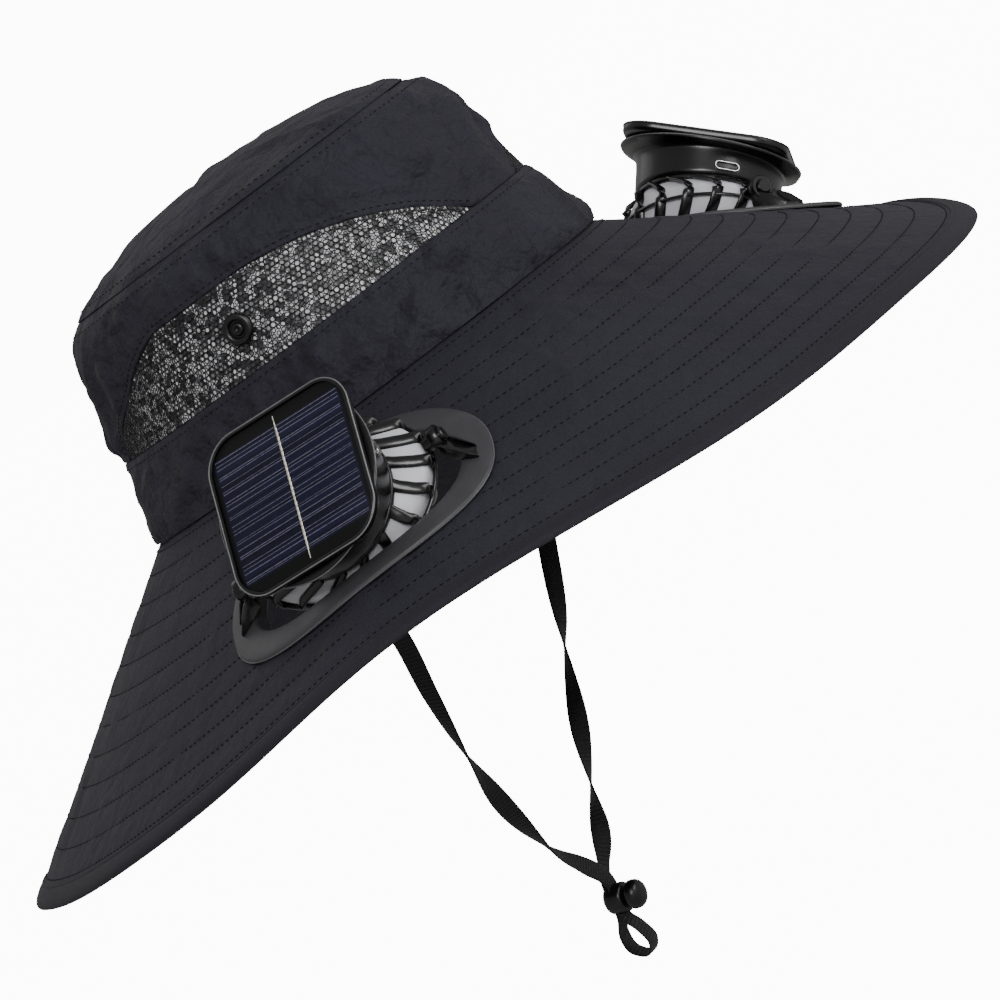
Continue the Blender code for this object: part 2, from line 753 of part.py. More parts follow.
def rounded_square(half, corner, height, corner_steps=5):
    """A square outline with round corners."""
    outline = []
    for quarter in range(4):
        for step in range(corner_steps):
            turn = math.pi / 2 * (quarter + step / (corner_steps - 1))
            sign_x = 1 if quarter in (0, 3) else -1
            sign_y = 1 if quarter in (0, 1) else -1
            x = sign_x * (half - corner) + corner * math.cos(turn)
            y = sign_y * (half - corner) + corner * math.sin(turn)
            outline.append(Vector((x, y, height)))
    return outline


def make_panel(side, word):
    """The rounded square frame, the solar cell in its recess and the busbar across the cell."""
    place = panel_frame_place(side)
    half = PANEL_SIDE / 2
    edge = PANEL_THICKNESS / 4
    inner, inner_corner = half - BEZEL_WIDTH, PANEL_CORNER - BEZEL_WIDTH
    sections = [
        rounded_square(half - edge, PANEL_CORNER - edge, -PANEL_THICKNESS),
        rounded_square(half, PANEL_CORNER, -PANEL_THICKNESS + edge),
        rounded_square(half, PANEL_CORNER, -edge),
        rounded_square(half - edge / 2, PANEL_CORNER - edge / 2, 0.0),
        rounded_square(inner, inner_corner, 0.0),
        rounded_square(inner, inner_corner, -CELL_DEPTH),
    ]
    make_object(f"panel_frame_{word}", loft(sections), BLACK_PLASTIC, place)

    cell, cell_corner = inner - CELL_CLEARANCE, inner_corner - CELL_CLEARANCE
    floor = -CELL_DEPTH + GAP
    top = -BUSBAR_THICKNESS - GAP
    slab = [rounded_square(cell, cell_corner, level, 4) for level in (floor, top)]
    make_object(f"solar_cell_{word}", loft(slab), SILICON, place)

    reach = cell - CELL_MARGIN
    width = BUSBAR_WIDTH / 2
    corners = ((-width, -reach), (width, -reach), (width, reach), (-width, reach))
    bar = []
    for level in (top + GAP, top + GAP + BUSBAR_THICKNESS):
        bar.append([Vector((x, y, level)) for x, y in corners])
    make_object(f"busbar_{word}", loft(bar), TINNED_METAL, place)


def make_port(side, word):
    """The oval charging port on the drum's side, facing the front."""
    spin = Matrix.Rotation(math.radians(FAN_PLACES[side].port), 4, "Z")
    seat = Matrix.Translation((housing_radius_at(PORT_LEVEL + PORT_HEIGHT / 2) + GAP, 0, PORT_LEVEL))
    place = head_frame(side) @ spin @ seat @ Matrix.Rotation(math.radians(90), 4, "Y")
    half_height = PORT_HEIGHT / 2
    straight = PORT_LENGTH / 2 - half_height
    sections = []
    for row in PORT_SECTIONS:
        outline = []
        for step in range(PORT_STEPS):
            turn = 2 * math.pi * (step + 0.5) / PORT_STEPS
            x = row.scale * half_height * math.cos(turn)
            y = row.scale * half_height * math.sin(turn) + math.copysign(straight, math.sin(turn))
            outline.append(Vector((x, y, PORT_DEPTH * row.level)))
        sections.append(outline)
    make_object(f"usb_port_{word}", loft(sections), TINNED_METAL, place)


def make_impeller(side, word):
    """A hub with broad blades, on a shaft that reaches up to the drum."""
    built = bmesh.new()
    count = 2 * IMPELLER_BLADES
    step_angle = 2 * math.pi / count
    rings = []
    for level in (-IMPELLER_HALF_HEIGHT, IMPELLER_HALF_HEIGHT):
        ring = []
        for step in range(count):
            x = IMPELLER_HUB * math.cos(step_angle * step)
            y = IMPELLER_HUB * math.sin(step_angle * step)
            ring.append(built.verts.new((x, y, level)))
        rings.append(ring)
    built.faces.new(list(reversed(rings[0])))
    shaft_seat = built.faces.new(rings[1])
    for step in range(count):
        after = (step + 1) % count
        wall = built.faces.new((rings[0][step], rings[0][after], rings[1][after], rings[1][step]))
        if step % 2 == 0:
            grow_blade(built, wall, step_angle * (step + 0.5), side)
    bmesh.ops.inset_region(built, faces=[shaft_seat], thickness=IMPELLER_HUB - SHAFT_RADIUS)
    shaft = bmesh.ops.extrude_face_region(built, geom=[shaft_seat])
    lift = housing_seat() - GAP - IMPELLER_HALF_HEIGHT
    tips = [part for part in shaft["geom"] if isinstance(part, bmesh.types.BMVert)]
    bmesh.ops.translate(built, verts=tips, vec=(0, 0, lift))
    bmesh.ops.delete(built, geom=[shaft_seat], context="FACES_ONLY")
    make_object(f"impeller_{word}", built, PALE_PLASTIC, head_frame(side))


def grow_blade(built, wall, turn, side):
    """Draws one side of the hub out into a thin blade, pitched along its span."""
    along = Vector((math.cos(turn), math.sin(turn), 0))
    across = Vector((-math.sin(turn), math.cos(turn), 0))
    before = 0.0
    for reach, pitch in ((IMPELLER_HUB + BLADE_ROOT, 0.6), (IMPELLER_RADIUS, 1.0)):
        grown = bmesh.ops.extrude_face_region(built, geom=[wall])
        bmesh.ops.delete(built, geom=[wall], context="FACES_ONLY")
        wall = next(part for part in grown["geom"] if isinstance(part, bmesh.types.BMFace))
        lean = math.radians(BLADE_TWIST) * pitch * side
        for vert in wall.verts:
            high, wide = vert.co.z, vert.co.dot(across)
            level = math.copysign(
                IMPELLER_HALF_HEIGHT * BLADE_DEPTH, high * math.cos(before) - wide * math.sin(before)
            )
            thick = math.copysign(BLADE_THICKNESS / 2, high * math.sin(before) + wide * math.cos(before))
            high = level * math.cos(lean) + thick * math.sin(lean)
            wide = -level * math.sin(lean) + thick * math.cos(lean)
            vert.co = along * reach + across * wide + Vector((0, 0, high))
        before = lean


def strap_stations():
    """Places, headings and tangents along the strap on a smooth curve through its route."""
    rows = [STRAP_ROUTE[0], *STRAP_ROUTE, STRAP_ROUTE[-1]]
    stations = []
    for before, first, second, after in zip(rows, rows[1:], rows[2:], rows[3:]):
        for step in range(STRAP_SAMPLES):
            share = step / STRAP_SAMPLES
            stations.append([blended(*corner, share) for corner in zip(before, first, second, after)])
    stations.append(list(STRAP_ROUTE[-1]))
    return stations


def blended(before, first, second, after, share):
    """A smooth value between two rows, given their neighbours."""
    bend = (second - before) * share + (2 * before - 5 * first + 4 * second - after) * share**2
    return first + 0.5 * (bend + (3 * first - before - 3 * second + after) * share**3)


def make_strap():
    """The flat webbing, with its width turned as its route says."""
    stations = strap_stations()
    places = [Vector(row[:3]) for row in stations]
    sections = []
    for index, (place, row) in enumerate(zip(places, stations)):
        ahead = places[min(index + 1, len(places) - 1)]
        behind = places[max(index - 1, 0)]
        tangent = (ahead - behind).normalized()
        heading = math.radians(row[3])
        width = Vector((math.cos(heading), math.sin(heading), 0))
        width = (width - tangent * width.dot(tangent)).normalized()
        face = tangent.cross(width)
        section = []
        for across, through in ((-1, -1), (1, -1), (1, 1), (-1, 1)):
            section.append(place + width * across * STRAP_WIDTH / 2 + face * through * STRAP_THICKNESS / 2)
        sections.append(section)
    make_object("chin_strap", loft(sections), WEBBING)


def make_lock():
    """The round cord lock: a body with a slot for both runs of the strap, and its plunger."""
    place = Matrix.Translation(LOCK_PLACE) @ Matrix.Rotation(math.radians(LOCK_LEAN), 4, "X")
    turn = Matrix.Rotation(math.radians(90), 4, "X")
    edge = LOCK_EDGE
    profile = (
        (LOCK_RADIUS - LOCK_REAR / 2, -LOCK_REAR),
        (LOCK_RADIUS - edge / 2, -LOCK_REAR + edge / 2),
        (LOCK_RADIUS, -LOCK_REAR + 3 * edge / 2),
        (LOCK_RADIUS, LOCK_FRONT - edge),
        (LOCK_RADIUS - edge, LOCK_FRONT),
    )
    body = make_object("cord_lock_body", turned(profile, LOCK_STEPS), BLACK_PLASTIC, place @ turn)
    half_width = STRAP_WIDTH / 2 + SLOT_CLEARANCE
    half_depth = (STRAP_SPACING + STRAP_THICKNESS) / 2 + SLOT_CLEARANCE
    slot_levels = []
    for level in (-2 * LOCK_RADIUS, 2 * LOCK_RADIUS):
        corners = ((-1, -1), (1, -1), (1, 1), (-1, 1))
        slot_levels.append([Vector((x * half_width, y * half_depth, level)) for x, y in corners])
    cut(body, make_object("lock_slot", loft(slot_levels), BLACK_PLASTIC, place))
    bore = turned(((STEM_RADIUS + GAP, LOCK_FRONT - STEM_LENGTH), (STEM_RADIUS + GAP, LOCK_FRONT * 2)), 12)
    cut(body, make_object("lock_bore", bore, BLACK_PLASTIC, place @ turn))

    back = LOCK_FRONT + GAP + PLUNGER_TRAVEL
    dome = [(STEM_RADIUS, LOCK_FRONT - STEM_LENGTH + GAP + PLUNGER_TRAVEL), (STEM_RADIUS, back)]
    for row in PLUNGER_SECTIONS:
        dome.append((PLUNGER_RADIUS * row.radius, back + PLUNGER_HEIGHT * row.height))
    make_object("cord_lock_plunger", turned(dome, LOCK_STEPS), BLACK_PLASTIC, place @ turn)


def main():
    """Builds the hat, piece by piece."""
    clear_scene()
    make_crown()
    make_brim()
    for side, fan in FAN_PLACES.items():
        word = fan.word
        make_mesh_window(side, word)
        make_plate(side, word)
        make_brackets(side, word)
        make_cage(side, word)
        make_housing(side, word)
        make_panel(side, word)
        make_port(side, word)
        make_impeller(side, word)
    make_strap()
    make_lock()
    bpy.context.view_layer.update()


main()
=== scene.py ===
"""Looks of the wide sun hat with a solar fan on each side of its brim.

Metres, +Z up. The front of the hat faces -Y and the wearer's right is -X. An angle round the hat
is measured from the front towards the wearer's right, in degrees.
"""

import logging
import math
from dataclasses import dataclass, field
from enum import Enum
from typing import Any

import bmesh
import bpy
import numpy as np
from mathutils import Matrix, Vector, noise


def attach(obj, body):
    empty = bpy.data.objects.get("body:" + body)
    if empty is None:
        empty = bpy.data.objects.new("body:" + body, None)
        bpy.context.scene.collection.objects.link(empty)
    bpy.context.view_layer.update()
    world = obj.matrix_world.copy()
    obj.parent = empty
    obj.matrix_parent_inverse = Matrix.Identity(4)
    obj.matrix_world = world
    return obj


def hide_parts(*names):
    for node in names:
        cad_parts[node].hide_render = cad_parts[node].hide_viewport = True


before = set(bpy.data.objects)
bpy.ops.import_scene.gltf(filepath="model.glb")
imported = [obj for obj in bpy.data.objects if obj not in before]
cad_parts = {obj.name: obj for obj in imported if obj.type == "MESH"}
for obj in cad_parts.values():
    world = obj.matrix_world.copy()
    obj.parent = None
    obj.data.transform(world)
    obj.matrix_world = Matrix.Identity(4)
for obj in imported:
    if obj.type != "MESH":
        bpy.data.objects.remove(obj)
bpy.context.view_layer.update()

LOG = logging.getLogger("hat")
SHARP_ANGLE = 42
STITCH_LIFT = 0.00008


class Slot(Enum):
    """Material slots of the record."""

    CLOTH = "cloth"
    MESH_CLOTH = "mesh_cloth"
    WEBBING = "webbing"
    GREY_PLASTIC = "grey_plastic"
    BLACK_PLASTIC = "black_plastic"
    PALE_PLASTIC = "pale_plastic"
    SILICON = "silicon"
    TINNED_METAL = "tinned_metal"


class NodeBench:
    """A node tree under construction."""

    def __init__(self, tree: bpy.types.NodeTree) -> None:
        """Starts on a tree."""
        self.tree = tree

    def feed(self, socket: bpy.types.NodeSocket, value: Any) -> None:
        """Links a socket into an input, or sets the input's value."""
        if isinstance(value, bpy.types.NodeSocket):
            self.tree.links.new(value, socket)
        else:
            socket.default_value = value

    def add(self, kind: str, inputs: dict[Any, Any] | None = None, **settings: Any) -> bpy.types.Node:
        """Adds a node.

        Args:
            kind: The node's type.
            inputs: A value or a socket for each input, by its name or number.
            settings: The node's own settings.

        Returns:
            The node.
        """
        node = self.tree.nodes.new(kind)
        for key, value in settings.items():
            setattr(node, key, value)
        for key, value in (inputs or {}).items():
            self.feed(node.inputs[key], value)
        return node

    def math(self, operation: str, *values: Any) -> bpy.types.NodeSocket:
        """Adds a Math node and returns its result."""
        return self.add("ShaderNodeMath", dict(enumerate(values)), operation=operation).outputs[0]


class ShaderBench(NodeBench):
    """A material under construction."""

    def __init__(self, name: str) -> None:
        """Starts a material with its own Principled shader."""
        self.material = bpy.data.materials.new(name)
        self.material.use_nodes = True
        super().__init__(self.material.node_tree)
        self.shader = self.tree.nodes["Principled BSDF"]

    def coordinates(self, output: str = "Object") -> bpy.types.NodeSocket:
        """The piece's own coordinates."""
        return self.add("ShaderNodeTexCoord").outputs[output]

    def noise(self, place: bpy.types.NodeSocket, scale: float, detail: float = 3.0) -> bpy.types.NodeSocket:
        """A soft noise from 0 to 1 at a scale per metre."""
        return self.add("ShaderNodeTexNoise", {"Vector": place, "Scale": scale, "Detail": detail}).outputs[0]

    def ramp(self, value: Any, low: float, high: float, start: float = 0.0, end: float = 1.0) -> Any:
        """A value mapped from a range to another and kept inside it."""
        inputs = {0: value, 1: low, 2: high, 3: start, 4: end}
        return self.add("ShaderNodeMapRange", inputs, clamp=True).outputs[0]

    def mix(self, share: Any, first: Any, second: Any) -> bpy.types.NodeSocket:
        """A colour between two colours."""
        inputs = {0: share, 6: first, 7: second}
        return self.add("ShaderNodeMix", inputs, data_type="RGBA").outputs[2]

    def bump(self, height: Any, distance: float, strength: float = 1.0, under: Any = None) -> Any:
        """A bump from a height, over another bump where one is given."""
        inputs = {"Height": height, "Distance": distance, "Strength": strength}
        if under is not None:
            inputs["Normal"] = under
        return self.add("ShaderNodeBump", inputs).outputs[0]

    def set(self, **values: Any) -> "ShaderBench":
        """Feeds the shader's inputs, with their spaces written as underscores."""
        for name, value in values.items():
            self.feed(self.shader.inputs[name.replace("_", " ")], value)
        return self


Color = tuple[float, float, float, float]


def linked(name: str, data: Any) -> bpy.types.Object:
    """A new object in the scene."""
    item = bpy.data.objects.new(name, data)
    bpy.context.scene.collection.objects.link(item)
    return item


def softened(piece: bpy.types.Object, degrees: float) -> bpy.types.Object:
    """Shades a piece smooth, but for the edges sharper than an angle."""
    piece.data.shade_smooth()
    piece.data.set_sharp_from_angle(angle=math.radians(degrees))
    return piece


def whole_turn(steps: int) -> np.ndarray:
    """Even steps of a whole turn, in radians."""
    return 2 * math.pi * np.arange(steps) / steps


def across_rings(rings: Any) -> np.ndarray:
    """Sections through a stack of rings, for a body that closes round them."""
    return np.array(rings).transpose(1, 0, 2)


def flat_places(across: Any, up: Any) -> np.ndarray:
    """UV places from their two parts."""
    return np.stack(np.broadcast_arrays(across, up), axis=-1)


def boxed(values: Any, power: float) -> np.ndarray:
    """Values from -1 to 1 drawn towards their ends, which makes a circle squarer."""
    return np.copysign(np.abs(values) ** power, values)


@dataclass(frozen=True)
class ClothFinish:
    """Plain woven cloth, with soft creases."""

    name: str
    dark: Color
    light: Color
    roughness: float = 0.62
    thread: float = 0.00045
    weave: float = 0.00005
    crease: float = 0.0005
    crease_scale: float = 60.0

    def build(self) -> bpy.types.Material:
        """Makes the material."""
        bench = ShaderBench(self.name)
        place = bench.coordinates()
        flat = bench.add("ShaderNodeSeparateXYZ", {0: bench.coordinates("UV")})
        turns = 2 * math.pi / self.thread
        warp = bench.math("SINE", bench.math("MULTIPLY", flat.outputs[0], turns))
        weft = bench.math("SINE", bench.math("MULTIPLY", flat.outputs[1], turns))
        weave = bench.math("MULTIPLY", warp, weft)
        cloudy = bench.noise(place, 18.0, 4.0)
        fibre = bench.noise(place, 900.0, 2.0)
        creases = bench.noise(place, self.crease_scale, 5.0)
        share = bench.math("ADD", bench.ramp(cloudy, 0.35, 0.65, 0.0, 0.7), bench.ramp(fibre, 0.3, 0.7, 0.0, 0.3))
        ridges = bench.math("ABSOLUTE", bench.math("SUBTRACT", creases, 0.5))
        folds = bench.bump(ridges, self.crease)
        bench.set(
            Base_Color=bench.mix(share, self.dark, self.light),
            Roughness=bench.ramp(cloudy, 0.3, 0.7, self.roughness - 0.05, self.roughness + 0.06),
            Normal=bench.bump(weave, self.weave, 1.0, folds),
            Sheen_Weight=0.03,
            Sheen_Roughness=0.4,
            Specular_IOR_Level=0.20,
        )
        return bench.material


@dataclass(frozen=True)
class PlasticFinish:
    """Moulded plastic with a fine grain, or polished."""

    name: str
    color: Color
    worn: Color
    roughness: float
    grain: float = 0.00002
    grain_scale: float = 2500.0
    coat: float = 0.0

    def build(self) -> bpy.types.Material:
        """Makes the material."""
        bench = ShaderBench(self.name)
        place = bench.coordinates()
        smudges = bench.noise(place, 70.0, 4.0)
        fine = bench.noise(place, self.grain_scale, 2.0)
        bench.set(
            Base_Color=bench.mix(bench.ramp(smudges, 0.45, 0.8), self.color, self.worn),
            Roughness=bench.ramp(smudges, 0.3, 0.75, self.roughness * 0.9, self.roughness * 1.25),
            Normal=bench.bump(fine, self.grain),
            Coat_Weight=self.coat,
            Coat_Roughness=0.08,
        )
        return bench.material


@dataclass(frozen=True)
class ThreadFinish:
    """Sewing thread."""

    name: str
    color: Color

    def build(self) -> bpy.types.Material:
        """Makes the material."""
        bench = ShaderBench(self.name)
        place = bench.coordinates()
        twist = bench.noise(place, 1600.0, 1.0)
        light = tuple(min(1.0, part * 2.2) for part in self.color[:3]) + (1.0,)
        bench.set(
            Base_Color=bench.mix(twist, self.color, light),
            Roughness=bench.ramp(twist, 0.3, 0.7, 0.6, 0.8),
            Normal=bench.bump(twist, 0.00005),
            Specular_IOR_Level=0.2,
        )
        return bench.material


@dataclass(frozen=True)
class NetFinish:
    """The knit of the windows: dark loops, or the lining under them, whose bright cells are painted glints of light
    seen through the holes.
    """

    name: str
    dark: Color
    light: Color
    cell: float
    low: float
    high: float

    def build(self) -> bpy.types.Material:
        """Makes the material."""
        bench = ShaderBench(self.name)
        place = bench.coordinates()
        cells = bench.add("ShaderNodeTexVoronoi", {"Vector": place, "Scale": 1 / self.cell})
        brightness = bench.add("ShaderNodeSeparateColor", {0: cells.outputs["Color"]}).outputs[0]
        # On the lining the bright cells are painted glints of light through the knit's holes; on the loops they only
        # vary the tone.
        share = bench.ramp(brightness, self.low, self.high)
        bench.set(
            Base_Color=bench.mix(share, self.dark, self.light),
            Roughness=bench.ramp(brightness, 0.0, 1.0, 0.35, 0.7),
            Normal=bench.bump(bench.noise(place, 1800.0), 0.0001),
        )
        return bench.material


@dataclass(frozen=True)
class WebbingFinish:
    """Flat woven webbing with ribs across it."""

    name: str
    dark: Color
    light: Color
    rib: float

    def build(self) -> bpy.types.Material:
        """Makes the material."""
        bench = ShaderBench(self.name)
        flat = bench.add("ShaderNodeSeparateXYZ", {0: bench.coordinates("UV")})
        along = bench.math("SINE", bench.math("MULTIPLY", flat.outputs[1], 2 * math.pi / self.rib))
        yarns = bench.math("SINE", bench.math("MULTIPLY", flat.outputs[0], 2 * math.pi / 0.0007))
        fuzz = bench.noise(bench.coordinates(), 1500.0)
        ribs = bench.ramp(along, -1.0, 1.0)
        share = bench.math("MULTIPLY", ribs, bench.ramp(fuzz, 0.3, 0.7, 0.5, 1.0))
        yarn_bump = bench.bump(bench.math("MULTIPLY", yarns, ribs), 0.00008)
        bench.set(
            Base_Color=bench.mix(share, self.dark, self.light),
            Roughness=bench.ramp(fuzz, 0.3, 0.7, 0.55, 0.75),
            Normal=bench.bump(fuzz, 0.00006, 1.0, yarn_bump),
            Sheen_Weight=0.1,
            Sheen_Roughness=0.5,
            Specular_IOR_Level=0.3,
        )
        return bench.material


@dataclass(frozen=True)
class CellFinish:
    """A silicon cell of narrow strips behind clear resin, striped along its UV's first axis."""

    name: str
    strip: float
    half: float
    margin: float
    side_margin: float = 0.0019

    def build(self) -> bpy.types.Material:
        """Makes the material."""
        bench = ShaderBench(self.name)
        flat = bench.add("ShaderNodeSeparateXYZ", {0: bench.coordinates("UV")})
        across = bench.math("ADD", flat.outputs[1], self.half)
        rows = bench.math("DIVIDE", across, self.strip)
        row = bench.math("FLOOR", rows)
        shade = bench.add("ShaderNodeTexWhiteNoise", {"W": row}, noise_dimensions="1D").outputs[0]
        inside = bench.math("FRACT", rows)
        seam = bench.math("LESS_THAN", inside, 0.09)
        navy = bench.mix(shade, (0.0030, 0.0033, 0.0125, 1.0), (0.0070, 0.0078, 0.027, 1.0))
        crystal = bench.noise(bench.coordinates(), 900.0, 4.0)
        navy = bench.mix(bench.ramp(crystal, 0.4, 0.8, 0.0, 0.35), navy, (0.0145, 0.016, 0.045, 1.0))
        end = bench.math("GREATER_THAN", bench.math("ABSOLUTE", flat.outputs[1]), self.half - self.margin)
        side = bench.math("GREATER_THAN", bench.math("ABSOLUTE", flat.outputs[0]), self.half - self.side_margin)
        black = (0.0025, 0.0025, 0.003, 1.0)
        color = bench.mix(bench.math("MAXIMUM", seam, bench.math("MAXIMUM", end, side)), navy, black)
        bench.set(
            Base_Color=color,
            Roughness=bench.ramp(crystal, 0.3, 0.7, 0.40, 0.52),
            Coat_Weight=0.06,
            Coat_Roughness=0.12,
            Specular_IOR_Level=0.2,
        )
        return bench.material


@dataclass(frozen=True)
class MetalFinish:
    """Tinned or plated metal."""

    name: str
    color: Color
    tarnish: Color
    roughness: float
    metallic: float

    def build(self) -> bpy.types.Material:
        """Makes the material."""
        bench = ShaderBench(self.name)
        place = bench.coordinates()
        spots = bench.noise(place, 700.0, 3.0)
        bench.set(
            Base_Color=bench.mix(bench.ramp(spots, 0.45, 0.75), self.color, self.tarnish),
            Roughness=bench.ramp(spots, 0.3, 0.7, self.roughness * 0.8, self.roughness * 1.3),
            Normal=bench.bump(spots, 0.00006),
            Metallic=self.metallic,
        )
        return bench.material


@dataclass
class Finishes:
    """Every finish of the hat, each made once."""

    crown: Any = field(default_factory=ClothFinish(
        "crown_cloth", (0.0185, 0.0172, 0.0262, 1.0), (0.0280, 0.0262, 0.0385, 1.0), 0.56,
        crease=0.0170, crease_scale=40.0).build)
    brim: Any = field(default_factory=ClothFinish(
        "brim_cloth", (0.0175, 0.0163, 0.0250, 1.0), (0.0245, 0.0229, 0.0340, 1.0), 0.60,
        crease=0.0036, crease_scale=60.0).build)
    hem: Any = field(default_factory=ClothFinish(
        "hem_cloth", (0.0160, 0.0144, 0.0208, 1.0), (0.0230, 0.0206, 0.0288, 1.0), 0.60,
        crease=0.0003, crease_scale=160.0).build)
    thread: Any = field(default_factory=ThreadFinish("black_thread", (0.0022, 0.0022, 0.0026, 1.0)).build)
    loops: Any = field(default_factory=NetFinish(
        "net_loops", (0.004, 0.004, 0.0045, 1.0), (0.045, 0.045, 0.05, 1.0), 0.0011, 0.45, 1.0).build)
    # The lining's pale cells are painted glints: light seen through the knit's holes, over a dark backing sheet.
    painted_glint_lining: Any = field(default_factory=NetFinish(
        "net_lining_painted_glints", (0.030, 0.030, 0.034, 1.0), (0.70, 0.70, 0.72, 1.0), 0.0021, 0.30, 0.80).build)
    webbing: Any = field(default_factory=WebbingFinish(
        "strap_webbing", (0.0035, 0.0035, 0.004, 1.0), (0.016, 0.016, 0.0175, 1.0), 0.0015).build)
    plate: Any = field(default_factory=PlasticFinish(
        "plate_plastic", (0.040, 0.040, 0.0435, 1.0), (0.050, 0.050, 0.054, 1.0), 0.46, 0.00003).build)
    # A lighter grey for the thin lines along the panel, flange and plate edges: painted highlights where these edges
    # catch the light, not a real polish.
    edge: Any = field(default_factory=PlasticFinish(
        "painted_edge_highlight", (0.17, 0.17, 0.175, 1.0), (0.10, 0.10, 0.105, 1.0), 0.22, 0.00001).build)
    gloss: Any = field(default_factory=PlasticFinish(
        "gloss_black_plastic", (0.0026, 0.0026, 0.0031, 1.0), (0.0042, 0.0042, 0.0048, 1.0), 0.27,
        0.000006, 900.0, 0.12).build)
    satin: Any = field(default_factory=PlasticFinish(
        "satin_black_plastic", (0.0040, 0.0040, 0.0045, 1.0), (0.0065, 0.0065, 0.007, 1.0), 0.30,
        0.00002, 1800.0).build)
    pale: Any = field(default_factory=PlasticFinish(
        "pale_plastic", (0.62, 0.62, 0.66, 1.0), (0.52, 0.52, 0.56, 1.0), 0.36, 0.00002).build)
    cell: Any = field(default_factory=CellFinish("solar_silicon", 0.0036, 0.0291, 0.0052).build)
    finger: Any = field(default_factory=MetalFinish(
        "cell_fingers", (0.135, 0.128, 0.190, 1.0), (0.05, 0.047, 0.08, 1.0), 0.45, 0.2).build)
    tin: Any = field(default_factory=MetalFinish(
        "tinned_busbar", (0.72, 0.68, 0.56, 1.0), (0.46, 0.43, 0.35, 1.0), 0.35, 0.55).build)
    plated: Any = field(default_factory=MetalFinish(
        "plated_port", (0.70, 0.70, 0.68, 1.0), (0.50, 0.50, 0.48, 1.0), 0.22, 1.0).build)


class GeometryBench(NodeBench):
    """A geometry node tree under construction, with named inputs for its sizes."""

    def __init__(self, name: str) -> None:
        """Starts a tree with a geometry going in and one coming out."""
        super().__init__(bpy.data.node_groups.new(name, "GeometryNodeTree"))
        for way in ("INPUT", "OUTPUT"):
            self.tree.interface.new_socket("Geometry", in_out=way, socket_type="NodeSocketGeometry")
        self.start = self.add("NodeGroupInput")
        self.end = self.add("NodeGroupOutput")
        self.identifiers: dict[str, str] = {}

    def size(self, name: str, kind: str = "NodeSocketFloat") -> bpy.types.NodeSocket:
        """Adds a named input and returns its socket inside the tree."""
        socket = self.tree.interface.new_socket(name, in_out="INPUT", socket_type=kind)
        self.identifiers[name] = socket.identifier
        return self.start.outputs[name]

    def vector(self, x: Any = 0.0, y: Any = 0.0, z: Any = 0.0) -> bpy.types.NodeSocket:
        """A vector of three parts."""
        return self.add("ShaderNodeCombineXYZ", {0: x, 1: y, 2: z}).outputs[0]

    def attribute(self, name: str) -> bpy.types.NodeSocket:
        """A named vector of the carrier."""
        node = self.add("GeometryNodeInputNamedAttribute", {"Name": name}, data_type="FLOAT_VECTOR")
        return node.outputs["Attribute"]

    def standing(self, up: Any, along: Any) -> bpy.types.NodeSocket:
        """The rotation whose Z is up and whose X runs along."""
        node = self.add("FunctionNodeAxesToRotation", primary_axis="Z", secondary_axis="X")
        self.feed(node.inputs[0], up)
        self.feed(node.inputs[1], along)
        return node.outputs[0]

    def spread(self, points: Any, item: Any, scale: Any, turn: Any = None) -> bpy.types.NodeSocket:
        """An item on each point, scaled and turned."""
        inputs = {"Points": points.outputs[0], "Instance": item.outputs[0], "Scale": scale}
        if turn is not None:
            inputs["Rotation"] = turn
        return self.add("GeometryNodeInstanceOnPoints", inputs).outputs[0]

    def circle(self, steps: int, radius: Any) -> bpy.types.Node:
        """A circle curve."""
        inputs = {"Resolution": steps, "Radius": radius}
        return self.add("GeometryNodeCurvePrimitiveCircle", inputs, mode="RADIUS")

    def random(self, low: float, high: float, seed: Any) -> bpy.types.NodeSocket:
        """A random number for each point, from a fixed seed."""
        node = self.add("FunctionNodeRandomValue", {"Seed": seed}, data_type="FLOAT")
        self.feed(node.inputs[2], low)
        self.feed(node.inputs[3], high)
        return node.outputs[1]

    def close(self, geometry: bpy.types.NodeSocket, material: bpy.types.Material) -> None:
        """Ends the tree in Realize Instances and Set Material."""
        real = self.add("GeometryNodeRealizeInstances", {0: geometry})
        done = self.add("GeometryNodeSetMaterial", {0: real.outputs[0], "Material": material})
        self.feed(self.end.inputs[0], done.outputs[0])

    def grow(self, carrier: bpy.types.Object, name: str, sizes: dict[str, float]) -> bpy.types.Object:
        """Runs the tree on a carrier and keeps the result as a plain piece.

        Args:
            carrier: The object that the tree starts from. It is removed.
            name: The new piece's name.
            sizes: A value for each named input.

        Returns:
            The plain piece.
        """
        modifier = carrier.modifiers.new("tree", "NODES")
        modifier.node_group = self.tree
        for key, value in sizes.items():
            modifier[self.identifiers[key]] = value
        graph = bpy.context.evaluated_depsgraph_get()
        mesh = bpy.data.meshes.new_from_object(carrier.evaluated_get(graph), depsgraph=graph)
        bpy.data.objects.remove(carrier, do_unlink=True)
        mesh.name = name
        return linked(name, mesh)


def flowing(places: tuple, values: tuple, at: Any) -> np.ndarray:
    """Values on a smooth curve through a table, with no overshoot.

    Args:
        places: The table's places, rising.
        values: The value at each place.
        at: Where the values are wanted.

    Returns:
        The values there.
    """
    xs, ys = np.asarray(places, float), np.asarray(values, float)
    spans = np.diff(xs)
    slopes = np.diff(ys) / spans
    total = slopes[1:] + slopes[:-1]
    product = slopes[1:] * slopes[:-1]
    inner = np.where(product > 0, 2 * product / np.where(total == 0, 1.0, total), 0.0)
    tangents = np.concatenate([slopes[:1], inner, slopes[-1:]])
    at = np.clip(np.asarray(at, float), xs[0], xs[-1])
    low = np.clip(np.searchsorted(xs, at) - 1, 0, len(xs) - 2)
    share = (at - xs[low]) / spans[low]
    rest = 1 - share
    first = ys[low] * (1 + 2 * share) * rest**2 + ys[low + 1] * share**2 * (3 - 2 * share)
    return first + spans[low] * share * rest * (tangents[low] * rest - tangents[low + 1] * share)


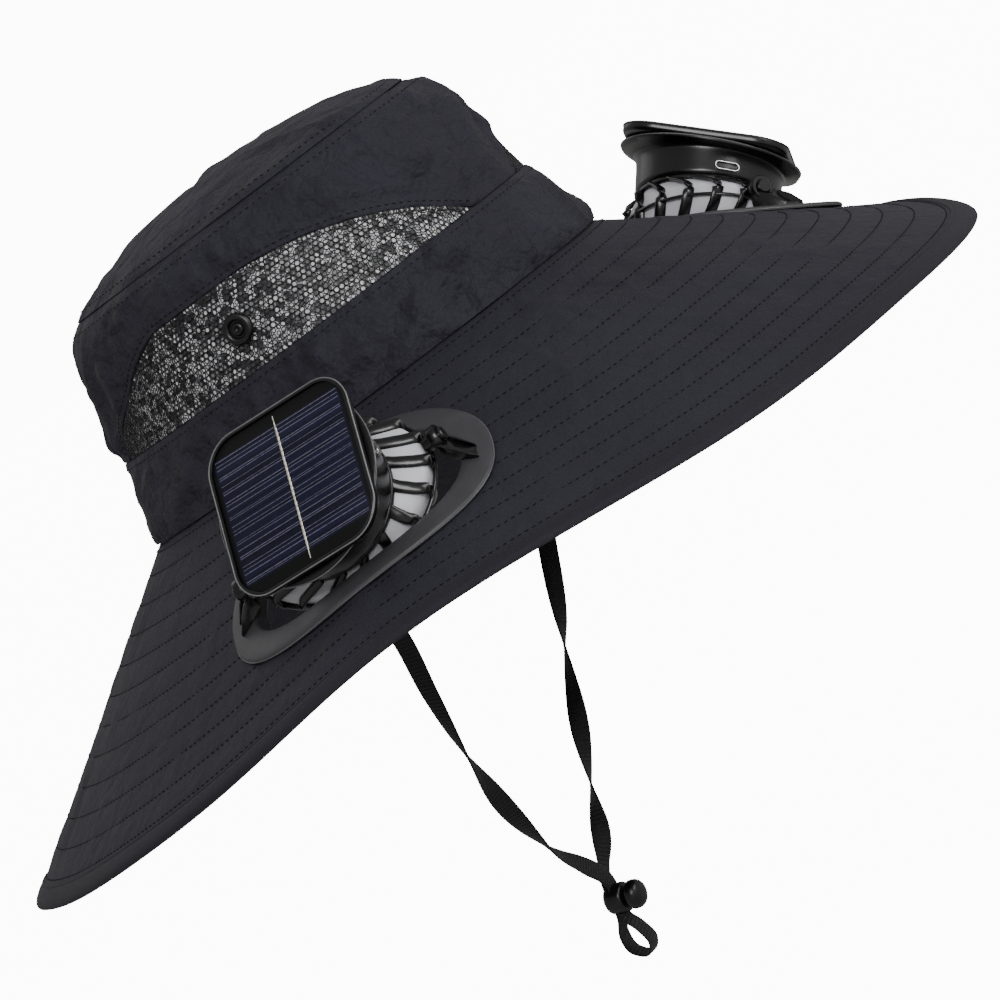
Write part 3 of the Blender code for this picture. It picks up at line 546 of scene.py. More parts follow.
def plain_piece(name: str, points: Any, faces: Any, material: Any = None, corners: Any = None) -> bpy.types.Object:
    """Makes a piece from points and faces, turned outwards where it is closed.

    Args:
        name: The piece's name.
        points: Its points.
        faces: Its faces, as lists of point numbers.
        material: Its material.
        corners: A UV place for each corner of each face, in the faces' order.

    Returns:
        The piece, at the origin.
    """
    mesh = bpy.data.meshes.new(name)
    mesh.from_pydata(np.asarray(points).reshape(-1, 3).tolist(), [], faces)
    if corners is not None:
        layer = mesh.uv_layers.new(name="UVMap")
        layer.data.foreach_set("uv", np.asarray(corners, np.float32).ravel())
    built = bmesh.new()
    built.from_mesh(mesh)
    bmesh.ops.recalc_face_normals(built, faces=built.faces)
    built.to_mesh(mesh)
    built.free()
    if material is not None:
        mesh.materials.append(material)
    return softened(linked(name, mesh), SHARP_ANGLE)


def lofted(name: str, grid: np.ndarray, material: Any, ring: bool = False, flat: Any = None) -> bpy.types.Object:
    """A closed body through closed sections.

    Args:
        name: The piece's name.
        grid: Sections by points by 3.
        material: Its material.
        ring: Whether the last section joins the first, or both ends are capped.
        flat: UV places, with one more section and point than the grid where they wrap.

    Returns:
        The piece.
    """
    sections, count = grid.shape[:2]
    rows = sections if ring else sections - 1
    first, point = np.meshgrid(np.arange(rows), np.arange(count), indexing="ij")
    after, following = (first + 1) % sections, (point + 1) % count
    start, end = first * count, after * count
    quads = np.stack([start + point, start + following, end + following, end + point], axis=-1)
    points = grid.reshape(-1, 3)
    faces = quads.reshape(-1, 4).tolist()
    corners = None
    if flat is not None:
        ahead, onward = first + 1, point + 1
        places = [flat[first, point], flat[first, onward], flat[ahead, onward], flat[ahead, point]]
        corners = np.stack(places, axis=-2).reshape(-1, 2)
    if not ring:
        total = len(points)
        points = np.vstack([points, grid[0].mean(axis=0), grid[-1].mean(axis=0)])
        for step in range(count):
            onward = (step + 1) % count
            faces.append([onward, step, total])
            last = (sections - 1) * count
            faces.append([last + step, last + onward, total + 1])
        if corners is not None:
            corners = np.vstack([corners, np.zeros((6 * count, 2))])
    return plain_piece(name, points, faces, material, corners)


def turned(profile: Any, steps: int) -> np.ndarray:
    """Sections of a body turned round Z through (radius, height) rows."""
    turn = whole_turn(steps)
    rows = [(radius * np.cos(turn), radius * np.sin(turn), np.full(steps, height)) for radius, height in profile]
    return np.stack(rows).transpose(0, 2, 1)


def moved(grid: np.ndarray, place: Matrix) -> np.ndarray:
    """The points of a grid, put in place."""
    turn = np.array(place.to_3x3())
    return grid @ turn.T + np.array(place.translation)


def carried(name: str, chains: list, vectors: dict[str, list]) -> bpy.types.Object:
    """A carrier of points joined in chains, with vectors on its points.

    Args:
        name: The carrier's name.
        chains: Rows of points, each an open chain.
        vectors: For each name, rows of vectors that match the chains.

    Returns:
        The carrier.
    """
    points, edges = [], []
    for chain in chains:
        start = len(points)
        points.extend(np.asarray(chain).tolist())
        edges.extend((start + step, start + step + 1) for step in range(len(chain) - 1))
    mesh = bpy.data.meshes.new(name)
    mesh.from_pydata(points, edges, [])
    for key, rows in vectors.items():
        values = np.concatenate([np.asarray(row, float).reshape(-1, 3) for row in rows])
        mesh.attributes.new(key, "FLOAT_VECTOR", "POINT").data.foreach_set("vector", values.ravel())
    return linked(name, mesh)


def soft_noise(points: np.ndarray, scale: float, seed: float) -> np.ndarray:
    """A smooth noise from about -1 to 1 at each point."""
    flat = points.reshape(-1, 3) * scale + seed
    values = np.fromiter((noise.noise(Vector(row)) for row in flat), float, len(flat))
    return values.reshape(points.shape[:-1])


def creased(across: Any, up: Any, span: tuple, count: int, seed: int, rise: float, lap: bool = False) -> np.ndarray:
    """Soft creases scattered over a cloth laid flat, from a fixed seed.

    Args:
        across: Places across the cloth.
        up: Places up the cloth.
        span: The cloth's width and height.
        count: The number of creases.
        seed: Their seed.
        rise: The most that one crease stands up or in.
        lap: Whether the cloth's two sides meet.

    Returns:
        The height of the creases at each place.
    """
    chance = np.random.default_rng(seed)
    relief = np.zeros(np.broadcast(across, up).shape)
    for _ in range(count):
        left, low = chance.uniform(0, span[0]), chance.uniform(0, span[1])
        lean, long, wide = chance.uniform(0.3, 2.8), chance.uniform(0.007, 0.026), chance.uniform(0.0018, 0.0052)
        height = rise * chance.uniform(0.35, 1.0) * chance.choice((-1.0, 1.0))
        away = across - left
        if lap:
            away = away - span[0] * np.round(away / span[0])
        along = away * math.cos(lean) + (up - low) * math.sin(lean)
        beside = (up - low) * math.cos(lean) - away * math.sin(lean) + chance.uniform(-9, 9) * along**2
        relief = relief + height * np.exp(-((along / long) ** 2) - (beside / wide) ** 2)
    return relief


def joined(name: str, pieces: list) -> bpy.types.Object:
    """One piece that holds the meshes of several, which are removed."""
    built = bmesh.new()
    materials: list = []
    for piece in pieces:
        start = len(built.faces)
        built.from_mesh(piece.data)
        built.faces.ensure_lookup_table()
        for index, material in enumerate(piece.data.materials):
            if material not in materials:
                materials.append(material)
        for face in built.faces[start:]:
            face.material_index = materials.index(piece.data.materials[face.material_index])
    mesh = bpy.data.meshes.new(name)
    built.to_mesh(mesh)
    built.free()
    for material in materials:
        mesh.materials.append(material)
    for piece in pieces:
        bpy.data.objects.remove(piece, do_unlink=True)
    return linked(name, mesh)


def cut(piece: bpy.types.Object, cutter: bpy.types.Object) -> bpy.types.Object:
    """Takes a cutter's body out of a piece and removes the cutter."""
    modifier = piece.modifiers.new("cut", "BOOLEAN")
    modifier.operation = "DIFFERENCE"
    modifier.solver = "EXACT"
    modifier.object = cutter
    graph = bpy.context.evaluated_depsgraph_get()
    mesh = bpy.data.meshes.new_from_object(piece.evaluated_get(graph), depsgraph=graph)
    piece.modifiers.remove(modifier)
    piece.data = mesh
    bpy.data.objects.remove(cutter, do_unlink=True)
    return piece


def place_piece(piece: bpy.types.Object, body: str, slot: Slot, *nodes: str) -> bpy.types.Object:
    """Rides a piece on its body and hides the nodes that it stands for."""
    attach(piece, body)
    if nodes:
        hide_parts(*nodes)
    LOG.info("%s rides on %s with %d faces", piece.name, body, len(piece.data.polygons))
    return piece


@dataclass(frozen=True)
class HatForm:
    """The hat's form, as in the frame."""

    gap: float = 0.0003
    cloth_wall: float = 0.0013
    crown_half_width: float = 0.086
    crown_half_length: float = 0.0995
    crown_height: float = 0.078
    band_height: float = 0.029
    dome_rise: float = 0.0135
    dome_fullness: float = 2.2
    window_height: float = 0.0315
    window_front: float = 11.0
    window_rear: float = 141.5
    brim_radius: float = 0.2035
    brim_drop: float = 0.0765
    brim_wall: float = 0.0020
    front_drop: float = 0.0020
    fan_lift: float = 0.0148
    fan_lift_angle: float = 66.0
    fan_lift_spread: float = 26.0
    hem_width: float = 0.007
    hem_thickness: float = 0.0032
    crown_places: tuple = (0.0, 0.12, 0.25, 0.38, 0.50, 0.70, 0.85, 0.95, 1.0)
    crown_reaches: tuple = (1.0, 0.965, 0.933, 0.906, 0.890, 0.865, 0.832, 0.790, 0.740)
    window_places: tuple = (0.0, 0.10, 0.20, 0.32, 0.44, 0.66, 0.75, 0.85, 0.96, 1.0)
    window_heights: tuple = (0.0, 0.42, 0.70, 0.90, 0.98, 0.98, 0.83, 0.55, 0.25, 0.0)

    def oval(self, angle: Any) -> np.ndarray:
        """The reach of the seam's oval at an angle."""
        turn = np.radians(angle)
        return 1 / np.hypot(np.sin(turn) / self.crown_half_width, np.cos(turn) / self.crown_half_length)

    def around(self, angle: Any, reach: Any, height: Any) -> np.ndarray:
        """Points at an angle, a level reach and a height."""
        turn = np.radians(angle)
        parts = np.broadcast_arrays(-np.sin(turn) * reach, -np.cos(turn) * reach, height)
        return np.stack(parts, axis=-1)

    def crown(self, angle: Any, height: Any, inset: Any = 0.0) -> np.ndarray:
        """Points of the crown's side, or inset from it."""
        share = np.clip(np.asarray(height) / self.crown_height, 0.0, 1.0)
        reach = self.oval(angle) * flowing(self.crown_places, self.crown_reaches, share)
        return self.around(angle, reach - inset, height)

    def window_top(self, angle: Any) -> np.ndarray:
        """The height of a window's top edge, or of the band where there is no window."""
        side = np.abs((np.asarray(angle) + 180) % 360 - 180)
        along = (side - self.window_front) / (self.window_rear - self.window_front)
        height = self.window_height * flowing(self.window_places, self.window_heights, along)
        inside = (along > 0) & (along < 1)
        return self.band_height + self.gap + np.where(inside, height, 0.0)

    def brim_inner(self, angle: Any) -> np.ndarray:
        """The reach of the brim's inner edge."""
        return self.oval(angle) - self.cloth_wall

    def brim_level(self, angle: Any, reach: Any) -> np.ndarray:
        """The height of the brim's upper face."""
        side = np.abs((np.asarray(angle) + 180) % 360 - 180)
        lift = self.fan_lift * np.exp(-(((side - self.fan_lift_angle) / self.fan_lift_spread) ** 2))
        drop = self.brim_drop + self.front_drop * np.cos(np.radians(angle)) - lift
        inner = self.brim_inner(angle)
        return -self.gap - drop * (reach - inner) / (self.brim_radius - inner)

    def brim_normal(self, angle: Any, reach: Any) -> np.ndarray:
        """The upper face's normal on the brim."""
        step, turn = 0.0005, 0.2

        def spot(at: Any, far: Any) -> np.ndarray:
            return self.around(at, far, self.brim_level(at, far))

        outwards = spot(angle, reach + step) - spot(angle, reach - step)
        onwards = spot(angle + turn, reach) - spot(angle - turn, reach)
        normal = np.cross(outwards, onwards)
        normal *= np.sign(normal[..., 2:])
        return normal / np.linalg.norm(normal, axis=-1, keepdims=True)

    def brim(self, angle: Any, reach: Any, above: Any = 0.0) -> np.ndarray:
        """Points over the brim's upper face."""
        angle, reach = np.broadcast_arrays(np.asarray(angle, float), np.asarray(reach, float))
        point = self.around(angle, reach, self.brim_level(angle, reach))
        return point + self.brim_normal(angle, reach) * np.asarray(above)[..., None]

    def brim_over(self, x: Any, y: Any, above: Any = 0.0) -> np.ndarray:
        """Points over the brim's upper face, given in plan."""
        return self.brim(np.degrees(np.arctan2(-x, -y)), np.hypot(x, y), above)


FORM = HatForm()


@dataclass(frozen=True)
class FanPlace:
    """Where one fan sits and how its head stands."""

    word: str
    side: int
    angle: float
    reach: float
    tilt: float
    wedge: float
    turn: float
    port: float
    half_length: float = 0.0555
    half_width: float = 0.0405
    rim_side: float = 0.0100
    rim_end: float = 0.0115
    ovalness: float = 2.3
    pivot_height: float = 0.0045
    panel_height: float = 0.0298

    @property
    def hole_length(self) -> float:
        """Half the length of the plate's hole."""
        return self.half_length - self.rim_end

    @property
    def hole_width(self) -> float:
        """Half the width of the plate's hole."""
        return self.half_width - self.rim_side

    @property
    def away(self) -> Vector:
        """The level way out through the fan."""
        turn = math.radians(self.angle)
        return Vector((-math.sin(turn), -math.cos(turn), 0.0))

    def at(self, above: float = 0.0) -> Vector:
        """The fan's centre over the brim."""
        return Vector(FORM.brim(self.angle, self.reach, above))

    def slope(self) -> float:
        """The cosine that shortens a length down the brim's slope in plan."""
        inner = FORM.brim(self.angle, self.reach - self.half_width / 2)
        outer = FORM.brim(self.angle, self.reach + self.half_width / 2)
        return self.half_width / float(np.linalg.norm(outer - inner))

    def spots(self, along: Any, down: Any, above: Any = 0.0) -> np.ndarray:
        """Points over the brim, given along it and down its slope from the fan's centre."""
        away = self.away
        rearward = Vector((away.y, -away.x, 0.0)) * self.side
        far = self.reach + np.asarray(down) * self.slope()
        x = away.x * far + rearward.x * np.asarray(along)
        y = away.y * far + rearward.y * np.asarray(along)
        return FORM.brim_over(x, y, above)

    def outline(self, half_length: float, half_width: float, steps: int) -> tuple[np.ndarray, np.ndarray]:
        """The places along and down of an oval round the fan's centre."""
        turn, power = whole_turn(steps), 2 / self.ovalness
        return half_length * boxed(np.cos(turn), power), half_width * boxed(np.sin(turn), power)

    def inside(self, x: Any, y: Any, margin: float) -> np.ndarray:
        """How far out a plan point is of the plate grown by a margin: below 1 it is inside."""
        away = self.away
        rearward = Vector((away.y, -away.x, 0.0)) * self.side
        along = x * rearward.x + y * rearward.y
        down = (x * away.x + y * away.y - self.reach) / self.slope()
        far = np.abs(along / (self.half_length + margin)) ** self.ovalness
        wide = np.abs(down / (self.half_width + margin)) ** self.ovalness
        return (far + wide) ** (1 / self.ovalness)

    def pivot_frame(self) -> Matrix:
        """The fan's frame on its pivot: X along the pins, Z out of the brim."""
        centre = self.at()
        normal = (self.at(self.pivot_height) - centre).normalized()
        turn = Vector((self.away.y, -self.away.x, 0.0))
        tangent = (turn - normal * turn.dot(normal)).normalized()
        place = Matrix((tangent, normal.cross(tangent), normal)).transposed().to_4x4()
        place.translation = centre + normal * self.pivot_height
        return place

    def head_frame(self) -> Matrix:
        """The fan head's frame, swung outwards."""
        return self.pivot_frame() @ Matrix.Rotation(-math.radians(self.tilt), 4, "X")

    def panel_frame(self) -> Matrix:
        """The panel's frame, tipped by the wedge and turned."""
        tip = Matrix.Rotation(math.radians(self.wedge), 4, "Y")
        turn = Matrix.Rotation(math.radians(self.turn), 4, "Z")
        return self.head_frame() @ Matrix.Translation((0, 0, self.panel_height)) @ tip @ turn


FANS = (
    FanPlace("right", 1, 70.0, 0.1375, 25.0, 7.0, -11.5, 190.0),
    FanPlace("left", -1, -66.0, 0.1480, 20.0, 11.0, -33.0, -13.0),
)


@dataclass
class Stitcher:
    """Rows of stitches."""

    finish: Any
    pitch: float = 0.0027
    length: float = 0.0017
    thread: float = 0.00021
    seed: int = 4

    def tree(self) -> GeometryBench:
        """A tree that lays a stitch at even steps along the carrier's chains."""
        bench = GeometryBench("stitches")
        pitch, length, thread = bench.size("Pitch"), bench.size("Length"), bench.size("Thread radius")
        curve = bench.add("GeometryNodeMeshToCurve", {0: bench.start.outputs[0]})
        even = bench.add("GeometryNodeResampleCurve", {0: curve.outputs[0]}, mode="LENGTH")
        bench.feed(even.inputs["Length"], pitch)
        ball = bench.add("GeometryNodeMeshIcoSphere", {"Radius": 1.0, "Subdivisions": 1})
        spread = bench.random(0.86, 1.1, self.seed)
        half = bench.math("MULTIPLY", bench.math("MULTIPLY", length, 0.5), spread)
        tangent = bench.add("GeometryNodeInputTangent").outputs[0]
        lie = bench.standing(bench.attribute("up"), tangent)
        rows = bench.spread(even, ball, bench.vector(half, thread, thread), lie)
        bench.close(rows, self.finish)
        return bench

    def sew(self, name: str, chains: list, ups: list) -> bpy.types.Object:
        """Lays stitches along chains of points.

        Args:
            name: The piece's name.
            chains: The rows, as chains of points on the cloth.
            ups: The cloth's normals along them.

        Returns:
            The stitches as one piece.
        """
        carrier = carried(f"{name}_rows", chains, {"up": ups})
        sizes = {"Pitch": self.pitch, "Length": self.length, "Thread radius": self.thread}
        return self.tree().grow(carrier, name, sizes)


@dataclass
class Crown:
    """The sewn crown: band, side, top and their seams."""

    finishes: Finishes
    stitcher: Stitcher
    columns: int = 480
    band_rows: int = 14
    side_rows: int = 34
    inside_rows: int = 8
    top_rings: int = 34
    sheet_columns: int = 200
    sheet_rows: int = 27
    sheet_frames: int = 18
    spare: float = 0.035
    most_fold: float = 0.0021
    girth_radius: float = 0.086
    creases: int = 260
    crease_rise: float = 0.0019
    rim_roll: float = 0.0012
    outer_roll: float = 0.3
    inner_roll: float = 0.7
    flat_reach: float = 0.092

    def __post_init__(self) -> None:
        """Drapes the wall once for all its pieces."""
        self.angles = np.arange(self.columns) * 360 / self.columns - 180
        self.folds = self.drape()

    def sheet(self) -> tuple[bpy.types.Object, np.ndarray, np.ndarray]:
        """The wall's cloth as a single sheet with its seams pinned.

        Returns:
            The sheet, its points before the simulation, and the way out at each.
        """
        angles = (np.arange(self.sheet_columns) * 360 / self.sheet_columns - 180)[None, :]
        heights = np.linspace(0, FORM.crown_height, self.sheet_rows)[:, None]
        smooth = FORM.crown(angles, heights)
        out = FORM.around(angles, 1.0, np.zeros_like(heights))
        grid = smooth + out * (0.0010 * soft_noise(smooth, 48.0, 3.0))[..., None]
        rows, columns = grid.shape[:2]
        faces = []
        for row in range(rows - 1):
            for column in range(columns):
                after = (column + 1) % columns
                low, high = row * columns, (row + 1) * columns
                faces.append([low + column, low + after, high + after, high + column])
        sheet = plain_piece("wall_sheet", grid, faces)
        pins = sheet.vertex_groups.new(name="pins")
        top = FORM.window_top(angles)
        held = (heights <= top + 0.001) & (heights >= FORM.band_height - 0.002)
        held = held | (heights < 0.002) | (heights > FORM.crown_height - 0.001)
        pins.add(np.flatnonzero(held.ravel()).tolist(), 1.0, "REPLACE")
        return sheet, smooth, np.broadcast_to(out, smooth.shape)

    def drape(self) -> np.ndarray:
        """Lets the wall's spare cloth buckle between its seams.
        """
        sheet, smooth, out = self.sheet()
        cloth = sheet.modifiers.new("cloth", "CLOTH")
        settings = cloth.settings
        settings.quality = 6
        settings.mass = 0.15
        settings.bending_stiffness = 0.08
        settings.vertex_group_mass = "pins"
        settings.shrink_min = -self.spare
        settings.effector_weights.gravity = 0.0
        cloth.collision_settings.use_collision = False
        cloth.point_cache.frame_end = self.sheet_frames
        for step in range(1, self.sheet_frames + 1):
            bpy.context.scene.frame_set(step)
        graph = bpy.context.evaluated_depsgraph_get()
        draped = sheet.evaluated_get(graph).to_mesh()
        points = np.empty(len(draped.vertices) * 3, np.float32)
        draped.vertices.foreach_get("co", points)
        folds = ((points.reshape(smooth.shape) - smooth) * out).sum(axis=-1)
        bpy.context.scene.frame_set(1)
        bpy.data.objects.remove(sheet, do_unlink=True)
        LOG.info("the wall's cloth buckled by %.2f to %.2f mm", folds.min() * 1000, folds.max() * 1000)
        folds = self.most_fold * np.tanh(folds / self.most_fold)
        for _ in range(2):
            folds = (np.roll(folds, 1, axis=1) + 2 * folds + np.roll(folds, -1, axis=1)) / 4
            folds[1:-1] = (folds[:-2] + 2 * folds[1:-1] + folds[2:]) / 4
        return folds

    def fold_at(self, angle: Any, height: Any) -> np.ndarray:
        """How far the draped wall stands out at a place."""
        rows, columns = self.folds.shape
        angle, height = np.broadcast_arrays(np.asarray(angle, float), np.asarray(height, float))
        across = (angle + 180) % 360 / 360 * columns
        up = np.clip(height / FORM.crown_height, 0, 1) * (rows - 1)
        left, low = np.floor(across).astype(int), np.minimum(np.floor(up).astype(int), rows - 2)
        share, rise = across - left, up - low
        share, rise = share * share * (3 - 2 * share), rise * rise * (3 - 2 * rise)
        right = (left + 1) % columns
        left = left % columns
        below = self.folds[low, left] * (1 - share) + self.folds[low, right] * share
        above = self.folds[low + 1, left] * (1 - share) + self.folds[low + 1, right] * share
        top, fade = FORM.window_top(angle), 0.004
        free = np.where(height > top, height - top - 0.0015, FORM.band_height - 0.002 - height) / fade
        free = np.clip(np.minimum(free, np.minimum(height, FORM.crown_height - height) / 0.004), 0, 1)
        girth = 2 * math.pi * self.girth_radius
        places = np.radians(angle + 180) * self.girth_radius
        creases = creased(places, height, (girth, FORM.crown_height), self.creases, 12, self.crease_rise, lap=True)
        return below * (1 - rise) + above * rise + creases * free * free * (3 - 2 * free)

    def draped(self, angles: np.ndarray, heights: Any, inset: Any) -> np.ndarray:
        """Points of the draped wall, or inset from it."""
        return FORM.crown(angles, heights, inset - self.fold_at(angles, heights))

    def wall(self, name: str, low: Any, high: Any, rows: int, node: str) -> bpy.types.Object:
        """One closed band of the wall between two heights, with rolled edges."""
        angles = self.angles
        low = np.broadcast_to(np.asarray(low, float), angles.shape)
        high = np.broadcast_to(np.asarray(high, float), angles.shape)
        shares = (1 - np.cos(np.linspace(0, math.pi, rows))) / 2
        shares = 0.5 * shares + 0.5 * np.linspace(0, 1, rows)
        levels = [low + (high - low) * share for share in (*shares, *np.linspace(1, 0, self.inside_rows))]
        insets = [0.0] * rows + [FORM.cloth_wall] * self.inside_rows
        insets[0] = insets[rows - 1] = FORM.cloth_wall * self.outer_roll
        insets[rows] = insets[-1] = FORM.cloth_wall * self.inner_roll
        grid = across_rings([self.draped(angles, level, inset) for level, inset in zip(levels, insets)])
        places = levels[:rows] + [2 * high - level for level in levels[rows:]]
        around = np.append(np.radians(angles), math.pi) * self.flat_reach
        flat = flat_places(around[:, None], np.pad(np.array(places).T, ((0, 1), (0, 1)), mode="edge"))
        piece = lofted(name, grid, self.finishes.crown, ring=True, flat=flat)
        return place_piece(piece, "hat", Slot.CLOTH, node)

    def dome(self, share: Any) -> np.ndarray:
        """The top panel's height at a share of its reach, rolled down at its rim."""
        rise = FORM.dome_rise * (1 - share**FORM.dome_fullness)
        roll = self.rim_roll * np.maximum(0.0, (share - 0.92) / 0.08) ** 2
        return FORM.crown_height + FORM.gap + FORM.cloth_wall + rise - roll

    def top(self) -> bpy.types.Object:
        """The domed top panel, with a rolled seam at its rim."""
        angles = np.arange(288) * 360 / 288 - 180
        base = FORM.oval(angles) * FORM.crown_reaches[-1]
        sections = []
        for share in 1 - (1 - np.linspace(0.0, 1, self.top_rings)[1:]) ** 1.35:
            ring = FORM.around(angles, base * share, self.dome(share))
            fade = np.clip((1 - share) / 0.06, 0, 1)
            folds = creased(ring[:, 0] + 0.07, ring[:, 1] + 0.08, (0.14, 0.16), 60, 5, 0.0014)
            ring[:, 2] += fade * (0.0010 * soft_noise(ring, 38.0, 11.0) + folds)
            sections.append(ring)
        for bulge, level in ((0.0001, -0.0014), (-0.0003, -0.0016)):
            height = FORM.crown_height + FORM.gap + FORM.cloth_wall + level
            sections.append(FORM.around(angles, base + bulge, height))
        for share in np.linspace(1, 0, 10)[:-1]:
            height = FORM.crown_height + FORM.gap + FORM.dome_rise * (1 - share**FORM.dome_fullness)
            sections.append(FORM.around(angles, base * share - 0.0002, height - 0.0003))
        grid = np.array(sections)
        flat = np.pad(grid[..., :2], ((0, 0), (0, 1), (0, 0)), mode="wrap")
        flat = np.pad(flat, ((0, 1), (0, 0), (0, 0)), mode="edge")
        piece = lofted("crown_top_panel", grid, self.finishes.crown, flat=flat)
        return place_piece(piece, "hat", Slot.CLOTH, "crown_top")

    def chain(self, angles: np.ndarray, heights: Any) -> tuple[np.ndarray, np.ndarray]:
        """A row on the draped wall, and the way out along it."""
        return self.draped(angles, heights, -0.00006), FORM.around(angles, np.ones_like(angles), 0.15)

    def tapes(self) -> None:
        """Thin tapes that close the crown's seams from inside."""
        angles = self.angles
        spans = (("brim", -0.0012, 0.005), ("band", FORM.band_height - 0.003, FORM.band_height + 0.003),
                 ("top", FORM.crown_height - 0.003, FORM.crown_height + 0.0008))
        for word, low, high in spans:
            corners = ((low, 0.00145), (high, 0.00145), (high, 0.00190), (low, 0.00190))
            grid = across_rings([self.draped(angles, height, inset) for height, inset in corners])
            place_piece(lofted(f"{word}_tape", grid, self.finishes.hem, ring=True), "hat", Slot.CLOTH)

    def seams(self) -> bpy.types.Object:
        """The stitch rows of the crown."""
        whole = np.linspace(-180, 180, 721)
        rows = [(whole, height) for height in (FORM.crown_height - 0.0030, FORM.band_height - 0.0022)]
        for side in (-1, 1):
            arc = side * np.linspace(FORM.window_front + 0.5, FORM.window_rear - 0.5, 300)
            rows.append((arc, FORM.window_top(arc) + 0.0021))
        lines = [self.chain(*row) for row in rows]
        rim = FORM.oval(whole) * FORM.crown_reaches[-1]
        height = self.dome((rim - 0.0032) / rim) + STITCH_LIFT
        lines.append((FORM.around(whole, rim - 0.0032, height), FORM.around(whole, np.full_like(whole, 0.3), 1.0)))
        piece = self.stitcher.sew("crown_stitches", [line for line, _ in lines], [up for _, up in lines])
        return place_piece(piece, "hat", Slot.CLOTH)

    def build(self) -> None:
        """Builds the crown's pieces."""
        self.wall("crown_band_cloth", 0.0, FORM.band_height, self.band_rows, "crown_band")
        angles = self.angles
        low = FORM.window_top(angles)
        self.wall("crown_side_cloth", low, FORM.crown_height, self.side_rows, "crown_side")
        self.top()
        self.tapes()
        self.seams()


